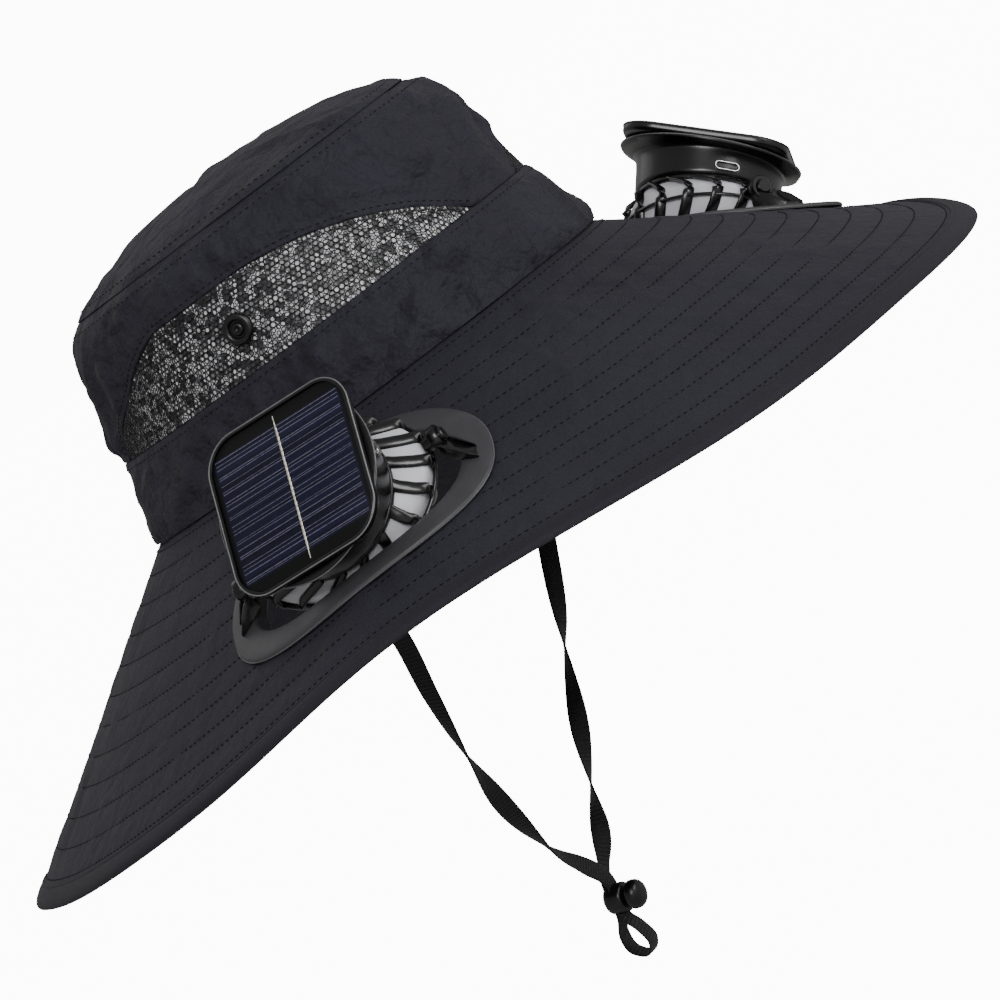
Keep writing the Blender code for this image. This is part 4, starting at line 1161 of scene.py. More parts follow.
@dataclass
class MeshWindow:
    """One window of coarse knit: loops over a dark lining whose bright cells are painted glints of light through the
    holes, and its snap.
    """

    finishes: Finishes
    fan: FanPlace
    pitch: float = 0.00205
    row_pitch: float = 0.00168
    loop: float = 0.00090
    yarn: float = 0.00026
    margin: float = 0.0006
    end_margin: float = 1.5
    snap_angle: float = 75.0
    snap_height: float = 0.044
    snap_radius: float = 0.0055
    snap_profile: tuple = (
        (1.0, 0.0), (1.02, 0.0004), (1.02, 0.0011), (0.97, 0.0017), (0.88, 0.0021), (0.74, 0.0022),
        (0.64, 0.0020), (0.58, 0.0014), (0.53, 0.0010), (0.46, 0.0010), (0.41, 0.0015), (0.35, 0.0019),
        (0.26, 0.0021), (0.20, 0.0020), (0.15, 0.0014), (0.08, 0.0012),
    )

    def tree(self) -> GeometryBench:
        """A tree that sets a loop of yarn on each point of the carrier."""
        bench = GeometryBench("knit_loops")
        loop, yarn = bench.size("Loop radius"), bench.size("Yarn radius")
        seed = bench.size("Seed", "NodeSocketInt")
        points = bench.add("GeometryNodeMeshToPoints", {0: bench.start.outputs[0]})
        path, section = bench.circle(7, loop), bench.circle(3, yarn)
        ring = bench.add("GeometryNodeCurveToMesh", {0: path.outputs[0], 1: section.outputs[0]})
        wide = bench.random(0.72, 1.16, seed)
        tall = bench.random(0.70, 1.12, bench.math("ADD", seed, 7.0))
        lean = bench.random(-0.9, 0.9, 5)
        standing = bench.standing(bench.attribute("up"), bench.attribute("along"))
        spin = bench.add("FunctionNodeAxisAngleToRotation", {"Axis": (0.0, 0.0, 1.0), "Angle": lean})
        turned_loop = bench.add("FunctionNodeRotateRotation", {0: standing, 1: spin.outputs[0]})
        turned_loop.rotation_space = "LOCAL"
        loops = bench.spread(points, ring, bench.vector(wide, tall, 1.0), turned_loop.outputs[0])
        bench.close(loops, self.finishes.loops)
        return bench

    def knit(self) -> bpy.types.Object:
        """The loops on a staggered lattice over the window."""
        start = FORM.window_front + self.end_margin
        end = FORM.window_rear - self.end_margin
        fine = np.linspace(start, end, 2000)
        steps = np.linalg.norm(np.diff(FORM.crown(fine, 0.04), axis=0), axis=1)
        length = np.concatenate([[0.0], np.cumsum(steps)])
        points = []
        count = int(FORM.window_height / self.row_pitch) + 1
        for row in range(count):
            height = FORM.band_height + self.margin + self.yarn + row * self.row_pitch
            offset = self.pitch * (0.5 if row % 2 else 0.0)
            along = np.arange(self.margin + offset, length[-1] - self.margin, self.pitch)
            angle = np.interp(along, length, fine)
            keep = FORM.window_top(angle) - self.margin - self.yarn > height
            angle = angle[keep]
            points.append(FORM.crown(self.fan.side * angle, np.full_like(angle, height), 0.0004))
        rim = np.interp(np.arange(self.pitch, length[-1], 0.8 * self.pitch), length, fine)
        edge = FORM.window_top(rim) - self.loop
        keep = edge > FORM.band_height + self.loop
        points.append(FORM.crown(self.fan.side * rim[keep], edge[keep], 0.0004))
        spots = np.concatenate(points)
        out = spots * np.array([1.0, 1.0, 0.0])
        out /= np.linalg.norm(out, axis=1, keepdims=True)
        out[:, 2] = 0.2
        along = np.stack([-out[:, 1], out[:, 0], np.zeros(len(out))], axis=-1)
        name = f"mesh_knit_{self.fan.word}"
        carrier = carried(f"{name}_lattice", [spots], {"up": [out], "along": [along]})
        sizes = {"Loop radius": self.loop, "Yarn radius": self.yarn, "Seed": 20 + self.fan.side}
        return place_piece(self.tree().grow(carrier, name, sizes), "hat", Slot.MESH_CLOTH)

    def painted_glint_lining(self) -> bpy.types.Object:
        """The thin lining behind the loops: a dark backing whose bright patches are painted glints of light showing
        through the holes.
        """
        start = FORM.window_front + self.end_margin
        angles = np.linspace(start, FORM.window_rear - self.end_margin, 220)
        low = FORM.band_height + FORM.gap
        high = FORM.window_top(angles) - FORM.gap
        rows = [(0.00062, step / 4) for step in range(5)] + [(0.00110, step / 4) for step in range(4, -1, -1)]
        sections = [FORM.crown(self.fan.side * angles, low + (high - low) * share, inset) for inset, share in rows]
        piece = lofted(f"mesh_glint_lining_{self.fan.word}", across_rings(sections), self.finishes.painted_glint_lining)
        return place_piece(piece, "hat", Slot.MESH_CLOTH, f"mesh_{self.fan.word}")

    def snap(self) -> bpy.types.Object:
        """The snap on the window: a cap with a ring recess."""
        angle = self.fan.side * self.snap_angle
        seat = Vector(FORM.crown(angle, self.snap_height))
        above = Vector(FORM.crown(angle, self.snap_height + self.snap_radius))
        below = Vector(FORM.crown(angle, self.snap_height - self.snap_radius))
        before = Vector(FORM.crown(angle - 4, self.snap_height))
        behind = Vector(FORM.crown(angle + 4, self.snap_height))
        across = (behind - before).normalized()
        normal = across.cross((above - below).normalized()).normalized()
        if normal.dot(seat) < 0:
            normal.negate()
        place = Matrix((across, normal.cross(across), normal)).transposed().to_4x4()
        place.translation = seat + normal * FORM.gap
        profile = [(self.snap_radius * radius, height) for radius, height in self.snap_profile]
        grid = moved(turned(profile, 48), place)
        piece = lofted(f"snap_cap_{self.fan.word}", grid, self.finishes.satin)
        return place_piece(piece, "hat", Slot.BLACK_PLASTIC, f"snap_{self.fan.word}")

    def build(self) -> None:
        """Builds the window's pieces."""
        self.painted_glint_lining()
        self.knit()
        self.snap()


@dataclass
class Brim:
    """The sewn brim with its stitch rows and bound edge."""

    finishes: Finishes
    stitcher: Stitcher
    columns: int = 640
    rows: int = 11
    row_pitch: float = 0.0885
    first_row: float = 0.982
    groove: float = 0.00026
    wave: float = 0.0011
    depth: float = 0.105
    flat_reach: float = 0.15
    crease_reach: float = 0.16
    creases: int = 260
    crease_rise: float = 0.00045
    row_steps: tuple = (0.0, 0.05, 0.13, 0.27, 0.5, 0.73, 0.87, 0.95)
    hem_profile: tuple = (
        (0.00, 0.30), (0.02, 0.80), (0.06, 0.98), (0.14, 0.99), (0.20, 0.84), (0.26, 0.99), (0.40, 1.06),
        (0.60, 1.04), (0.78, 0.93), (0.90, 0.72), (0.97, 0.40), (1.00, 0.00),
    )

    def wave_at(self, angle: Any, share: Any) -> np.ndarray:
        """The brim's slow waves, which die out at the crown and beside the fans."""
        turn = np.radians(angle)
        rise = np.sin(3 * turn + 0.6) * 0.45 + np.sin(7 * turn + 2.1) * 0.35 + np.sin(11 * turn) * 0.2
        reach = FORM.brim_inner(angle) * (1 - share) + FORM.brim_radius * share
        x, y = -np.sin(turn) * reach, -np.cos(turn) * reach
        calm = np.ones(np.broadcast(angle, share).shape)
        for fan in FANS:
            calm = calm * np.clip((fan.inside(x, y, 0.004) - 1) / 0.35, 0, 1)
        return self.wave * rise * np.asarray(share) ** 2 * calm

    def relief(self, angle: Any, share: Any) -> np.ndarray:
        """How far the upper face lies off its smooth form: grooves along the stitch rows."""
        rows = (self.first_row - np.asarray(share)) / self.row_pitch
        nearest = np.clip(np.round(rows), 0, self.rows - 1)
        away = np.minimum(np.abs(rows - nearest), 0.5)
        depth = self.groove * (1 - np.abs(np.sin(math.pi * away))) ** 2
        return self.wave_at(angle, share) - depth

    def reach_of(self, angle: Any, share: Any) -> np.ndarray:
        """The reach at a share of the cloth's span."""
        inner = FORM.brim_inner(angle)
        edge = FORM.brim_radius - FORM.hem_width
        return inner + (edge - inner) * share

    def shares(self) -> np.ndarray:
        """Shares of the span, closer together at the stitch rows."""
        found = {0.0, 0.02, 1.0}
        for row in range(self.rows + 1):
            for step in self.row_steps:
                share = self.first_row - self.row_pitch * (row - 1 + step)
                if 0.03 < share < 0.998:
                    found.add(round(share, 5))
        return np.array(sorted(found))

    def girth(self, reach: float) -> np.ndarray:
        """Places round the brim for its pattern, with the wrap's own last one."""
        return (np.arange(self.columns + 1) * 2 * math.pi * reach / self.columns)[:, None]

    def cloth(self) -> bpy.types.Object:
        """The brim's cloth with its two fan holes."""
        angles = np.arange(self.columns) * 360 / self.columns
        upper = self.shares()
        lower = np.linspace(1, 0, 24)
        depth, girth, flat_place = self.depth, 2 * math.pi * self.crease_reach, np.radians(angles) * self.crease_reach
        sections = []
        for share in upper:
            crisp = creased(flat_place, depth * share, (girth, depth), self.creases, 8, self.crease_rise, lap=True)
            crisp = crisp * min(1.0, 12 * share, 9 * (1 - share))
            above = self.relief(angles, share) + crisp - 0.0001
            sections.append(FORM.brim(angles, self.reach_of(angles, share), above))
        for share in lower:
            above = -FORM.brim_wall + self.wave_at(angles, share)
            sections.append(FORM.brim(angles, self.reach_of(angles, share), above))
        spans = np.array([*upper, *(2 - lower), 2.0]) * depth
        flat = flat_places(self.girth(self.flat_reach), spans)
        piece = lofted("brim_cloth", across_rings(sections), self.finishes.brim, ring=True, flat=flat)
        for fan in FANS:
            collar = FanUnit.collar_wall + FORM.gap
            along, down = fan.outline(fan.hole_length + collar, fan.hole_width + collar, 96)
            walls = np.array([fan.spots(along, down, np.full(96, level)) for level in (-0.007, 0.007)])
            cut(piece, lofted(f"hole_{fan.word}", walls, self.finishes.brim))
        return place_piece(softened(piece, SHARP_ANGLE), "hat", Slot.CLOTH, "brim")

    def hem(self) -> bpy.types.Object:
        """The bound edge, with a groove where it is stitched."""
        angles = np.arange(self.columns) * 360 / self.columns
        inside = FORM.brim_radius - FORM.hem_width - 0.0008
        width = FORM.brim_radius - inside
        half = FORM.hem_thickness / 2
        rows = [*self.hem_profile, *((along, -rise) for along, rise in reversed(self.hem_profile[:-1]))]
        wave = self.wave_at(angles, 1.0)
        sections = [
            FORM.brim(angles, inside + width * along, -FORM.brim_wall / 2 + half * rise + wave)
            for along, rise in rows
        ]
        flat = flat_places(self.girth(FORM.brim_radius), np.arange(len(sections) + 1) * 0.0007)
        piece = lofted("brim_binding", across_rings(sections), self.finishes.hem, ring=True, flat=flat)
        return place_piece(piece, "hat", Slot.CLOTH, "brim_hem")

    def stitch_rows(self) -> bpy.types.Object:
        """The stitch rows of the brim and of its binding, left out under the fans' plates."""
        angles = np.linspace(0, 360, 1441)
        chains, ups = [], []

        def lay(reach: np.ndarray, above: np.ndarray) -> None:
            line = FORM.brim(angles, reach, above)
            up = FORM.brim_normal(angles, reach)
            open_cloth = np.ones(len(angles), bool)
            for fan in FANS:
                open_cloth &= fan.inside(line[:, 0], line[:, 1], 0.0006) > 1
            cuts = np.flatnonzero(np.diff(open_cloth.astype(int))) + 1
            for part in np.split(np.arange(len(angles)), cuts):
                if len(part) > 3 and open_cloth[part[0]]:
                    chains.append(line[part])
                    ups.append(up[part])

        for row in range(self.rows):
            share = self.first_row - self.row_pitch * row
            lay(self.reach_of(angles, share), self.relief(angles, share) + STITCH_LIFT)
        inside = FORM.brim_radius - FORM.hem_width + FORM.gap
        hem_row = inside + 0.16 * FORM.hem_width
        level = -FORM.brim_wall / 2 + 0.84 * FORM.hem_thickness / 2 + STITCH_LIFT
        lay(np.full_like(angles, hem_row), level + self.wave_at(angles, 1.0))
        lay(self.reach_of(angles, 0.028), self.relief(angles, 0.028) + STITCH_LIFT)
        piece = self.stitcher.sew("brim_stitches", chains, ups)
        return place_piece(piece, "hat", Slot.CLOTH)

    def build(self) -> None:
        """Builds the brim's pieces."""
        self.cloth()
        self.hem()
        self.stitch_rows()


@dataclass
class FanUnit:
    """One solar fan: plate and brackets on the brim, and the head with its panel and rotor."""

    finishes: Finishes
    fan: FanPlace
    plate_thickness: float = 0.0018
    collar_wall: float = 0.0014
    collar_depth: float = 0.0045
    bracket_length: float = 0.0135
    bracket_inset: float = 0.0010
    boss: float = 0.0046
    fin_sweep: float = 0.70
    pin_radius: float = 0.0026
    pin_clearance: float = 0.0003
    bore_depth: float = 0.0050
    cage_half_length: float = 0.0390
    cage_half_width: float = 0.0286
    ribs: int = 18
    rib_half_width: float = 0.00215
    rib_half_depth: float = 0.00080
    rib_swirl: float = 0.22
    liner_inset: float = 0.0021
    # Widths of the painted highlight lines along the panel, flange and plate edges.
    panel_highlight_width: float = 0.00026
    flange_highlight_width: float = 0.0002
    plate_highlight_width: float = 0.00012
    housing_radius: float = 0.0262
    flange_radius: float = 0.0328
    panel_side: float = 0.0605
    panel_corner: float = 0.0125
    panel_thickness: float = 0.0032
    bezel: float = 0.0012
    cell_depth: float = 0.0011
    cell_clearance: float = 0.0003
    fingers: int = 26
    port_length: float = 0.0090
    port_height: float = 0.0032
    port_level: float = 0.0126
    rotor_radius: float = 0.0232
    hub_radius: float = 0.0070
    blades: int = 7
    foot_rows: tuple = (
        (0.0, 0.0042, 1.0), (0.0020, 0.0044, 0.9), (0.0044, 0.0046, 0.35), (0.0070, 0.0038, 0.12),
        (0.0094, 0.0026, 0.06),
    )
    fin_rows: tuple = (
        (0.0, 0.0033, 0.0034, 0.00075), (0.0012, 0.0035, 0.0049, 0.00075), (0.0032, 0.0038, 0.0050, 0.000675),
        (0.0060, 0.0039, 0.0036, 0.0006), (0.0080, 0.0037, 0.0018, 0.00045), (0.0098, 0.0033, 0.0004, 0.000225),
    )
    cage_places: tuple = (0.0, 0.07, 0.26, 0.46, 0.54, 0.80, 1.0)
    cage_lengths: tuple = (0.655, 0.700, 0.860, 0.992, 0.985, 0.800, 0.420)
    cage_widths: tuple = (0.893, 0.922, 0.968, 0.990, 0.985, 0.840, 0.455)
    cage_levels: tuple = (0.300, 0.262, 0.165, 0.045, -0.060, -0.400, -0.585)
    drum_places: tuple = (0.0, 0.04, 0.10, 0.30, 0.55, 0.70, 0.79, 0.87, 0.925)
    drum_overhangs: tuple = (-0.25, -0.06, 0.0, 0.02, 0.05, 0.09, 0.20, 0.58, 0.97)
    drum_wedges: tuple = (0.0, 0.0, 0.0, 0.0, 0.0, 0.35, 0.65, 0.88, 1.0)

    def piece_name(self, word: str) -> str:
        """A piece's name with its side."""
        return f"{word}_{self.fan.word}"

    @property
    def head(self) -> str:
        """The head's body."""
        return f"head_{self.fan.word}"

    def put(
        self, word: str, grid: np.ndarray, look: Any, slot: Slot, node: str = "", place: Matrix | None = None,
        ring: bool = False, body: str = "",
    ) -> bpy.types.Object:
        """Lofts one of this side's pieces and rides it on a body.

        Args:
            word: The piece's name without its side.
            grid: Its sections.
            look: Its material.
            slot: Its slot, which is not used.
            node: The node that it stands for, without its side, if any.
            place: The frame of its points, or none for the world.
            ring: Whether it closes round its sections.
            body: Its body, or none for the head.

        Returns:
            The piece.
        """
        piece = lofted(self.piece_name(word), moved(grid, place) if place else grid, look, ring=ring)
        return place_piece(piece, body or self.head, slot, *([self.piece_name(node)] if node else []))

    def plate_row(self, half_length: float, half_width: float, level: float) -> np.ndarray:
        """An oval over the brim round the fan."""
        along, down = self.fan.outline(half_length, half_width, 176)
        return self.fan.spots(along, down, np.full(176, level))

    def plate(self) -> bpy.types.Object:
        """The satin oval plate with soft edges, and its collar through the brim."""
        fan, gap = self.fan, FORM.gap
        length, width = fan.half_length, fan.half_width
        hole_length, hole_width = fan.hole_length, fan.hole_width
        top = gap + self.plate_thickness
        rows = (
            (length - 0.0006, width - 0.0006, gap),
            (length, width, gap + 0.0003),
            (length, width, gap + 0.0009),
            (length - 0.0003, width - 0.0003, top - 0.0003),
            (length - 0.0010, width - 0.0010, top),
            (length - 0.0035, width - 0.0030, top + 0.0001),
            (hole_length + 0.0035, hole_width + 0.0030, top + 0.0001),
            (hole_length + 0.0010, hole_width + 0.0010, top),
            (hole_length + 0.0003, hole_width + 0.0003, top - 0.0003),
            (hole_length, hole_width, top - 0.0009),
            (hole_length, hole_width, -self.collar_depth + 0.0004),
            (hole_length + 0.0004, hole_width + 0.0004, -self.collar_depth),
            (hole_length + self.collar_wall, hole_width + self.collar_wall, -self.collar_depth + 0.0003),
            (hole_length + self.collar_wall, hole_width + self.collar_wall, gap),
        )
        grid = across_rings([self.plate_row(*row) for row in rows])
        return self.put("plate_ring", grid, self.finishes.plate, Slot.GREY_PLASTIC, "fan_plate", ring=True, body="hat")

    def bracket(self, end: int, place: str) -> bpy.types.Object:
        """One pivot bracket: a foot, two pointed fins and the ring round the pin.

        Args:
            end: -1 or 1, the way along the pivot's axis.
            place: The bracket's place in its node's name.

        Returns:
            The bracket.
        """
        fan = self.fan
        frame_place = fan.pivot_frame()
        into = frame_place.inverted()
        mouth = self.mouth
        parts = []

        def foot_level(x: float, y: float) -> float:
            spot = fan.spots(end * fan.side * x, y, 2 * FORM.gap + self.plate_thickness)
            return (into @ Vector(spot)).z

        def section(x: float, y: float, half: float, lows: tuple, high: float, chamfer: tuple) -> list:
            shoulder, fall, crest = chamfer
            places = ((-1.0, lows[0]), (1.0, lows[1]), (shoulder, high - fall), (crest, high), (-crest, high),
                      (-shoulder, high - fall))
            return [(end * x, y + half * wide, level) for wide, level in places]

        base = []
        for along, half, rise in self.foot_rows:
            x, wide, shift = mouth + along, half, self.fin_sweep * along
            lows = foot_level(x, shift - wide), foot_level(x, shift + wide)
            high = max(lows) + (self.boss - max(lows)) * rise * 0.62 + 0.0003
            base.append(section(x, shift, wide, lows, high, (0.96, 0.0005, 0.70)))
        parts.append(np.array(base))
        for side in (-1, 1):
            fin = []
            for along, offset, rise, half in self.fin_rows:
                x, y = mouth + along, side * offset + self.fin_sweep * along
                low = foot_level(x, y)
                fin.append(section(x, y, half, (low, low), low + 0.0008 + rise, (1.0, half * 0.8, 0.5)))
            parts.append(np.array(fin))
        bore = self.pin_radius + self.pin_clearance
        ring_rows = ((0.0, 0.0), (0.0002, 0.0003), (0.0012, 0.0004), (0.0015, 0.0), (0.0015, -0.0026),
                     (0.0012, -0.0030), (0.0, -0.0030))
        ring = turned([(bore + wall, level) for wall, level in ring_rows], 32)
        turn = Matrix.Rotation(math.radians(-90) * end, 4, "Y")
        seat = Matrix.Translation((end * mouth, 0, 0)) @ turn
        name = self.piece_name(f"bracket_{place}")
        gloss = self.finishes.gloss
        pieces = [lofted(f"{name}_{index}", moved(part, frame_place), gloss) for index, part in enumerate(parts)]
        pieces.append(lofted(f"{name}_ring", moved(across_rings(ring), frame_place @ seat), gloss, ring=True))
        node = self.piece_name(f"fan_bracket_{place}")
        return place_piece(softened(joined(name, pieces), 38), "hat", Slot.BLACK_PLASTIC, node)

    def cage_row(self, place: float, turn: Any, grow: float = 0.0) -> np.ndarray:
        """Points of the cage's form round the head, at a place down its ribs."""
        length = self.cage_half_length * flowing(self.cage_places, self.cage_lengths, place)
        width = self.cage_half_width * flowing(self.cage_places, self.cage_widths, place)
        level = self.cage_half_width * flowing(self.cage_places, self.cage_levels, place)
        turn = np.asarray(turn)
        x, y = (length + grow) * np.cos(turn), (width + grow) * np.sin(turn)
        return np.stack(np.broadcast_arrays(x, y, level), axis=-1)

    def cage_ribs(self) -> bpy.types.Object:
        """The curved ribs, swept along their paths."""
        bench = GeometryBench("cage_ribs")
        half_width, half_depth = bench.size("Half width"), bench.size("Half depth")
        curve = bench.add("GeometryNodeMeshToCurve", {0: bench.start.outputs[0]})
        upright = bench.add("GeometryNodeSetCurveNormal", {0: curve.outputs[0]}, mode="Z_UP")
        section = bench.circle(10, 1.0)
        size = bench.vector(half_width, half_depth, 1.0)
        shaped = bench.add("GeometryNodeTransform", {0: section.outputs[0], "Scale": size})
        swept = bench.add("GeometryNodeCurveToMesh", {0: upright.outputs[0], 1: shaped.outputs[0], "Fill Caps": True})
        bench.close(swept.outputs[0], self.finishes.gloss)
        places = np.linspace(0.03, 0.99, 26)
        chains = []
        for rib in range(self.ribs):
            turn = 2 * math.pi * rib / self.ribs
            bends = [turn - self.fan.side * self.rib_swirl * math.sin(math.pi * place) for place in places]
            chains.append(np.array([self.cage_row(place, bend, -0.0010) for place, bend in zip(places, bends)]))
        name = self.piece_name("cage_ribs")
        carrier = carried(f"{name}_paths", chains, {})
        sizes = {"Half width": self.rib_half_width, "Half depth": self.rib_half_depth}
        piece = bench.grow(carrier, name, sizes)
        piece.data.transform(self.fan.head_frame())
        piece.data.shade_smooth()
        return place_piece(piece, self.head, Slot.BLACK_PLASTIC)

    def hoop(self, name: str, place: float, half_height: float, half_wall: float) -> bpy.types.Object:
        """A smooth hoop round the cage."""
        middle = self.cage_row(place, whole_turn(144), -half_wall)
        out = middle * np.array([1.0, 1.0, 0.0])
        out /= np.linalg.norm(out, axis=1, keepdims=True)
        up = np.array([0.0, 0.0, 1.0])
        sections = [
            middle + out * half_wall * boxed(math.cos(step), 0.7) + up * half_height * boxed(math.sin(step), 0.7)
            for step in whole_turn(12)
        ]
        return lofted(name, moved(across_rings(sections), self.fan.head_frame()), self.finishes.gloss, ring=True)

    def cage_frame(self) -> bpy.types.Object:
        """The hoops, the floor and the two pins of the cage."""
        name = self.piece_name("cage_frame")
        head_place = self.fan.head_frame()
        pieces = [
            self.hoop(f"{name}_top", 0.03, 0.0011, 0.0012),
            self.hoop(f"{name}_rim", 0.56, 0.0006, 0.0008),
            self.hoop(f"{name}_low", 0.86, 0.0006, 0.0008),
        ]
        foot = self.cage_row(1.0, whole_turn(96))
        rows = ((0.9, 0.0008), (1.0, 0.0007), (1.02, 0.0), (1.0, -0.0007), (0.90, -0.0010), (0.3, -0.0012))
        floor = [foot * np.array([share, share, 1.0]) + np.array([0, 0, level]) for share, level in rows]
        pieces.append(lofted(f"{name}_floor", moved(np.array(floor), head_place), self.finishes.gloss))
        for end in (-1, 1):
            start = self.cage_half_length - 0.0016
            finish = self.mouth + self.bore_depth - 2 * self.pin_clearance
            profile = ((self.pin_radius, start), (self.pin_radius, finish - 0.0004), (self.pin_radius - 0.0004, finish))
            pin = turned(profile, 28)
            turn_over = Matrix.Rotation(math.radians(90) * end, 4, "Y")
            pieces.append(lofted(f"{name}_pin{end}", moved(pin, head_place @ turn_over), self.finishes.gloss))
        piece = softened(joined(name, pieces), 40)
        return place_piece(piece, self.head, Slot.BLACK_PLASTIC, self.piece_name("fan_cage"))

    def liner(self) -> bpy.types.Object:
        """The pale shroud inside the ribs, open under the rotor."""
        turn, places = whole_turn(120), np.linspace(0.05, 0.72, 14)
        outer = [self.cage_row(place, turn, -self.liner_inset) for place in places]
        inner = [self.cage_row(place, turn, -self.liner_inset - 0.0008) for place in places[::-1]]
        grid, place = across_rings(outer + inner), self.fan.head_frame()
        return self.put("cage_liner", grid, self.finishes.pale, Slot.PALE_PLASTIC, place=place, ring=True)

    def edges(self) -> None:
        """Thin lighter grey lines on the edges of the panel, the flange and the plate: painted highlights where these
        edges catch the light.
        """
        steps = [(math.cos(turn), math.sin(turn)) for turn in whole_turn(6)]
        fan, highlight_finish = self.fan, self.finishes.edge
        half, corner, line = self.panel_side / 2, self.panel_corner, self.panel_highlight_width
        rings = [self.rounded_square(half + line * x, corner + line * x, line * y - 0.0002) for x, y in steps]
        place = fan.panel_frame()
        self.put("panel_edge_highlight", across_rings(rings), highlight_finish, Slot.BLACK_PLASTIC, place=place, ring=True)
        line = self.flange_highlight_width
        rings = [self.drum_row(self.flange_radius + line * x, 0.975, 1.0, line * y) for x, y in steps]
        place = fan.head_frame()
        self.put("flange_edge_highlight", across_rings(rings), highlight_finish, Slot.BLACK_PLASTIC, place=place, ring=True)
        line, level, length, width = self.plate_highlight_width, FORM.gap + 0.0009, fan.half_length, fan.half_width
        rings = [self.plate_row(length + line * x, width + line * x, level + line * y) for x, y in steps]
        self.put("plate_edge_highlight", across_rings(rings), highlight_finish, Slot.GREY_PLASTIC, ring=True, body="hat")

    @property
    def mouth(self) -> float:
        """How far out along the pins the brackets start."""
        return self.fan.half_length - self.bracket_inset - self.bracket_length

    @property
    def seat(self) -> float:
        """The level of the drum's underside."""
        return self.cage_half_width * 0.300 + FORM.gap

    @property
    def drum_height(self) -> float:
        """The drum's height at its middle."""
        return self.fan.panel_height - self.panel_thickness - FORM.gap - self.seat

    def drum(self) -> bpy.types.Object:
        """The glossy drum, flared into its round flange and cut off along the wedge."""
        rows = [(-0.75, 0.0, 0.0)]
        for share in np.concatenate([np.linspace(0.0, 0.12, 6), np.linspace(0.2, 0.925, 16)]):
            over, wedge = (flowing(self.drum_places, table, share) for table in (self.drum_overhangs, self.drum_wedges))
            rows.append((float(over), float(share), float(wedge)))
        rows += [(1.0, 0.945, 1.0), (1.01, 0.965, 1.0), (0.99, 0.985, 1.0), (0.94, 1.0, 1.0), (0.5, 1.0, 1.0)]
        grid = np.array([self.drum_row(self.drum_radius(over), share, wedge) for over, share, wedge in rows])
        place = self.fan.head_frame()
        return self.put("drum", grid, self.finishes.gloss, Slot.BLACK_PLASTIC, "fan_housing", place)

    def drum_radius(self, over: float) -> float:
        """The drum's radius at a share of the flange's overhang."""
        return self.housing_radius + (self.flange_radius - self.housing_radius) * over

    def drum_row(self, radius: float, share: float, wedge: float, lift: float = 0.0) -> np.ndarray:
        """A ring of the drum at a share of its height, tipped by a share of the wedge."""
        turn = whole_turn(128)
        x, y = radius * np.cos(turn), radius * np.sin(turn)
        fall = math.tan(math.radians(self.fan.wedge)) * wedge
        return np.stack([x, y, self.seat + self.drum_height * share + lift - x * fall], axis=-1)

    def rounded_square(self, half: float, corner: float, height: float, steps: int = 14) -> np.ndarray:
        """A square outline with round corners."""
        turn = math.pi / 2 * (np.arange(4)[:, None] + np.arange(steps) / (steps - 1))
        x = np.array([[1], [-1], [-1], [1]]) * (half - corner) + corner * np.cos(turn)
        y = np.array([[1], [1], [-1], [-1]]) * (half - corner) + corner * np.sin(turn)
        return np.stack([x, y, np.full_like(x, height)], axis=-1).reshape(-1, 3)

    def panel(self) -> bpy.types.Object:
        """The panel's frame with a thin polished bezel."""
        half, corner, thick, inner = self.panel_side / 2, self.panel_corner, self.panel_thickness, self.bezel
        rows = (
            (0.0016, -thick), (0.0008, -thick + 0.0001), (0.0002, -thick + 0.0006), (0.0, -thick + 0.0012),
            (0.0, -0.0009), (0.0001, -0.0004), (0.00035, -0.0001), (0.0006, 0.0), (inner - 0.00025, 0.0),
            (inner - 0.00005, -0.0001), (inner, -0.0003), (inner, -self.cell_depth),
        )
        grid = np.array([self.rounded_square(half - inset, corner - inset, level) for inset, level in rows])
        place = self.fan.panel_frame()
        return self.put("panel_bezel", grid, self.finishes.gloss, Slot.BLACK_PLASTIC, "panel_frame", place)

    def cell(self) -> None:
        """The cell, its printed fingers and the soldered busbar."""
        place = self.fan.panel_frame()
        half = self.panel_side / 2 - self.bezel - self.cell_clearance
        corner = self.panel_corner - self.bezel - self.cell_clearance
        top = -0.0006
        rows = ((0.0, -self.cell_depth + FORM.gap), (0.0, top - 0.0001), (0.0002, top))
        grid = np.array([self.rounded_square(half - inset, corner - inset, level, 8) for inset, level in rows])
        flat_piece = lofted(self.piece_name("cell_slab"), grid, self.finishes.cell)
        mesh = flat_piece.data
        layer = mesh.uv_layers.new(name="UVMap")
        for loop in mesh.loops:
            layer.data[loop.index].uv = mesh.vertices[loop.vertex_index].co.xy
        mesh.transform(place)
        place_piece(flat_piece, self.head, Slot.SILICON, self.piece_name("solar_cell"))
        self.finger_lines(place, half, top)
        self.busbar(place, half, top)

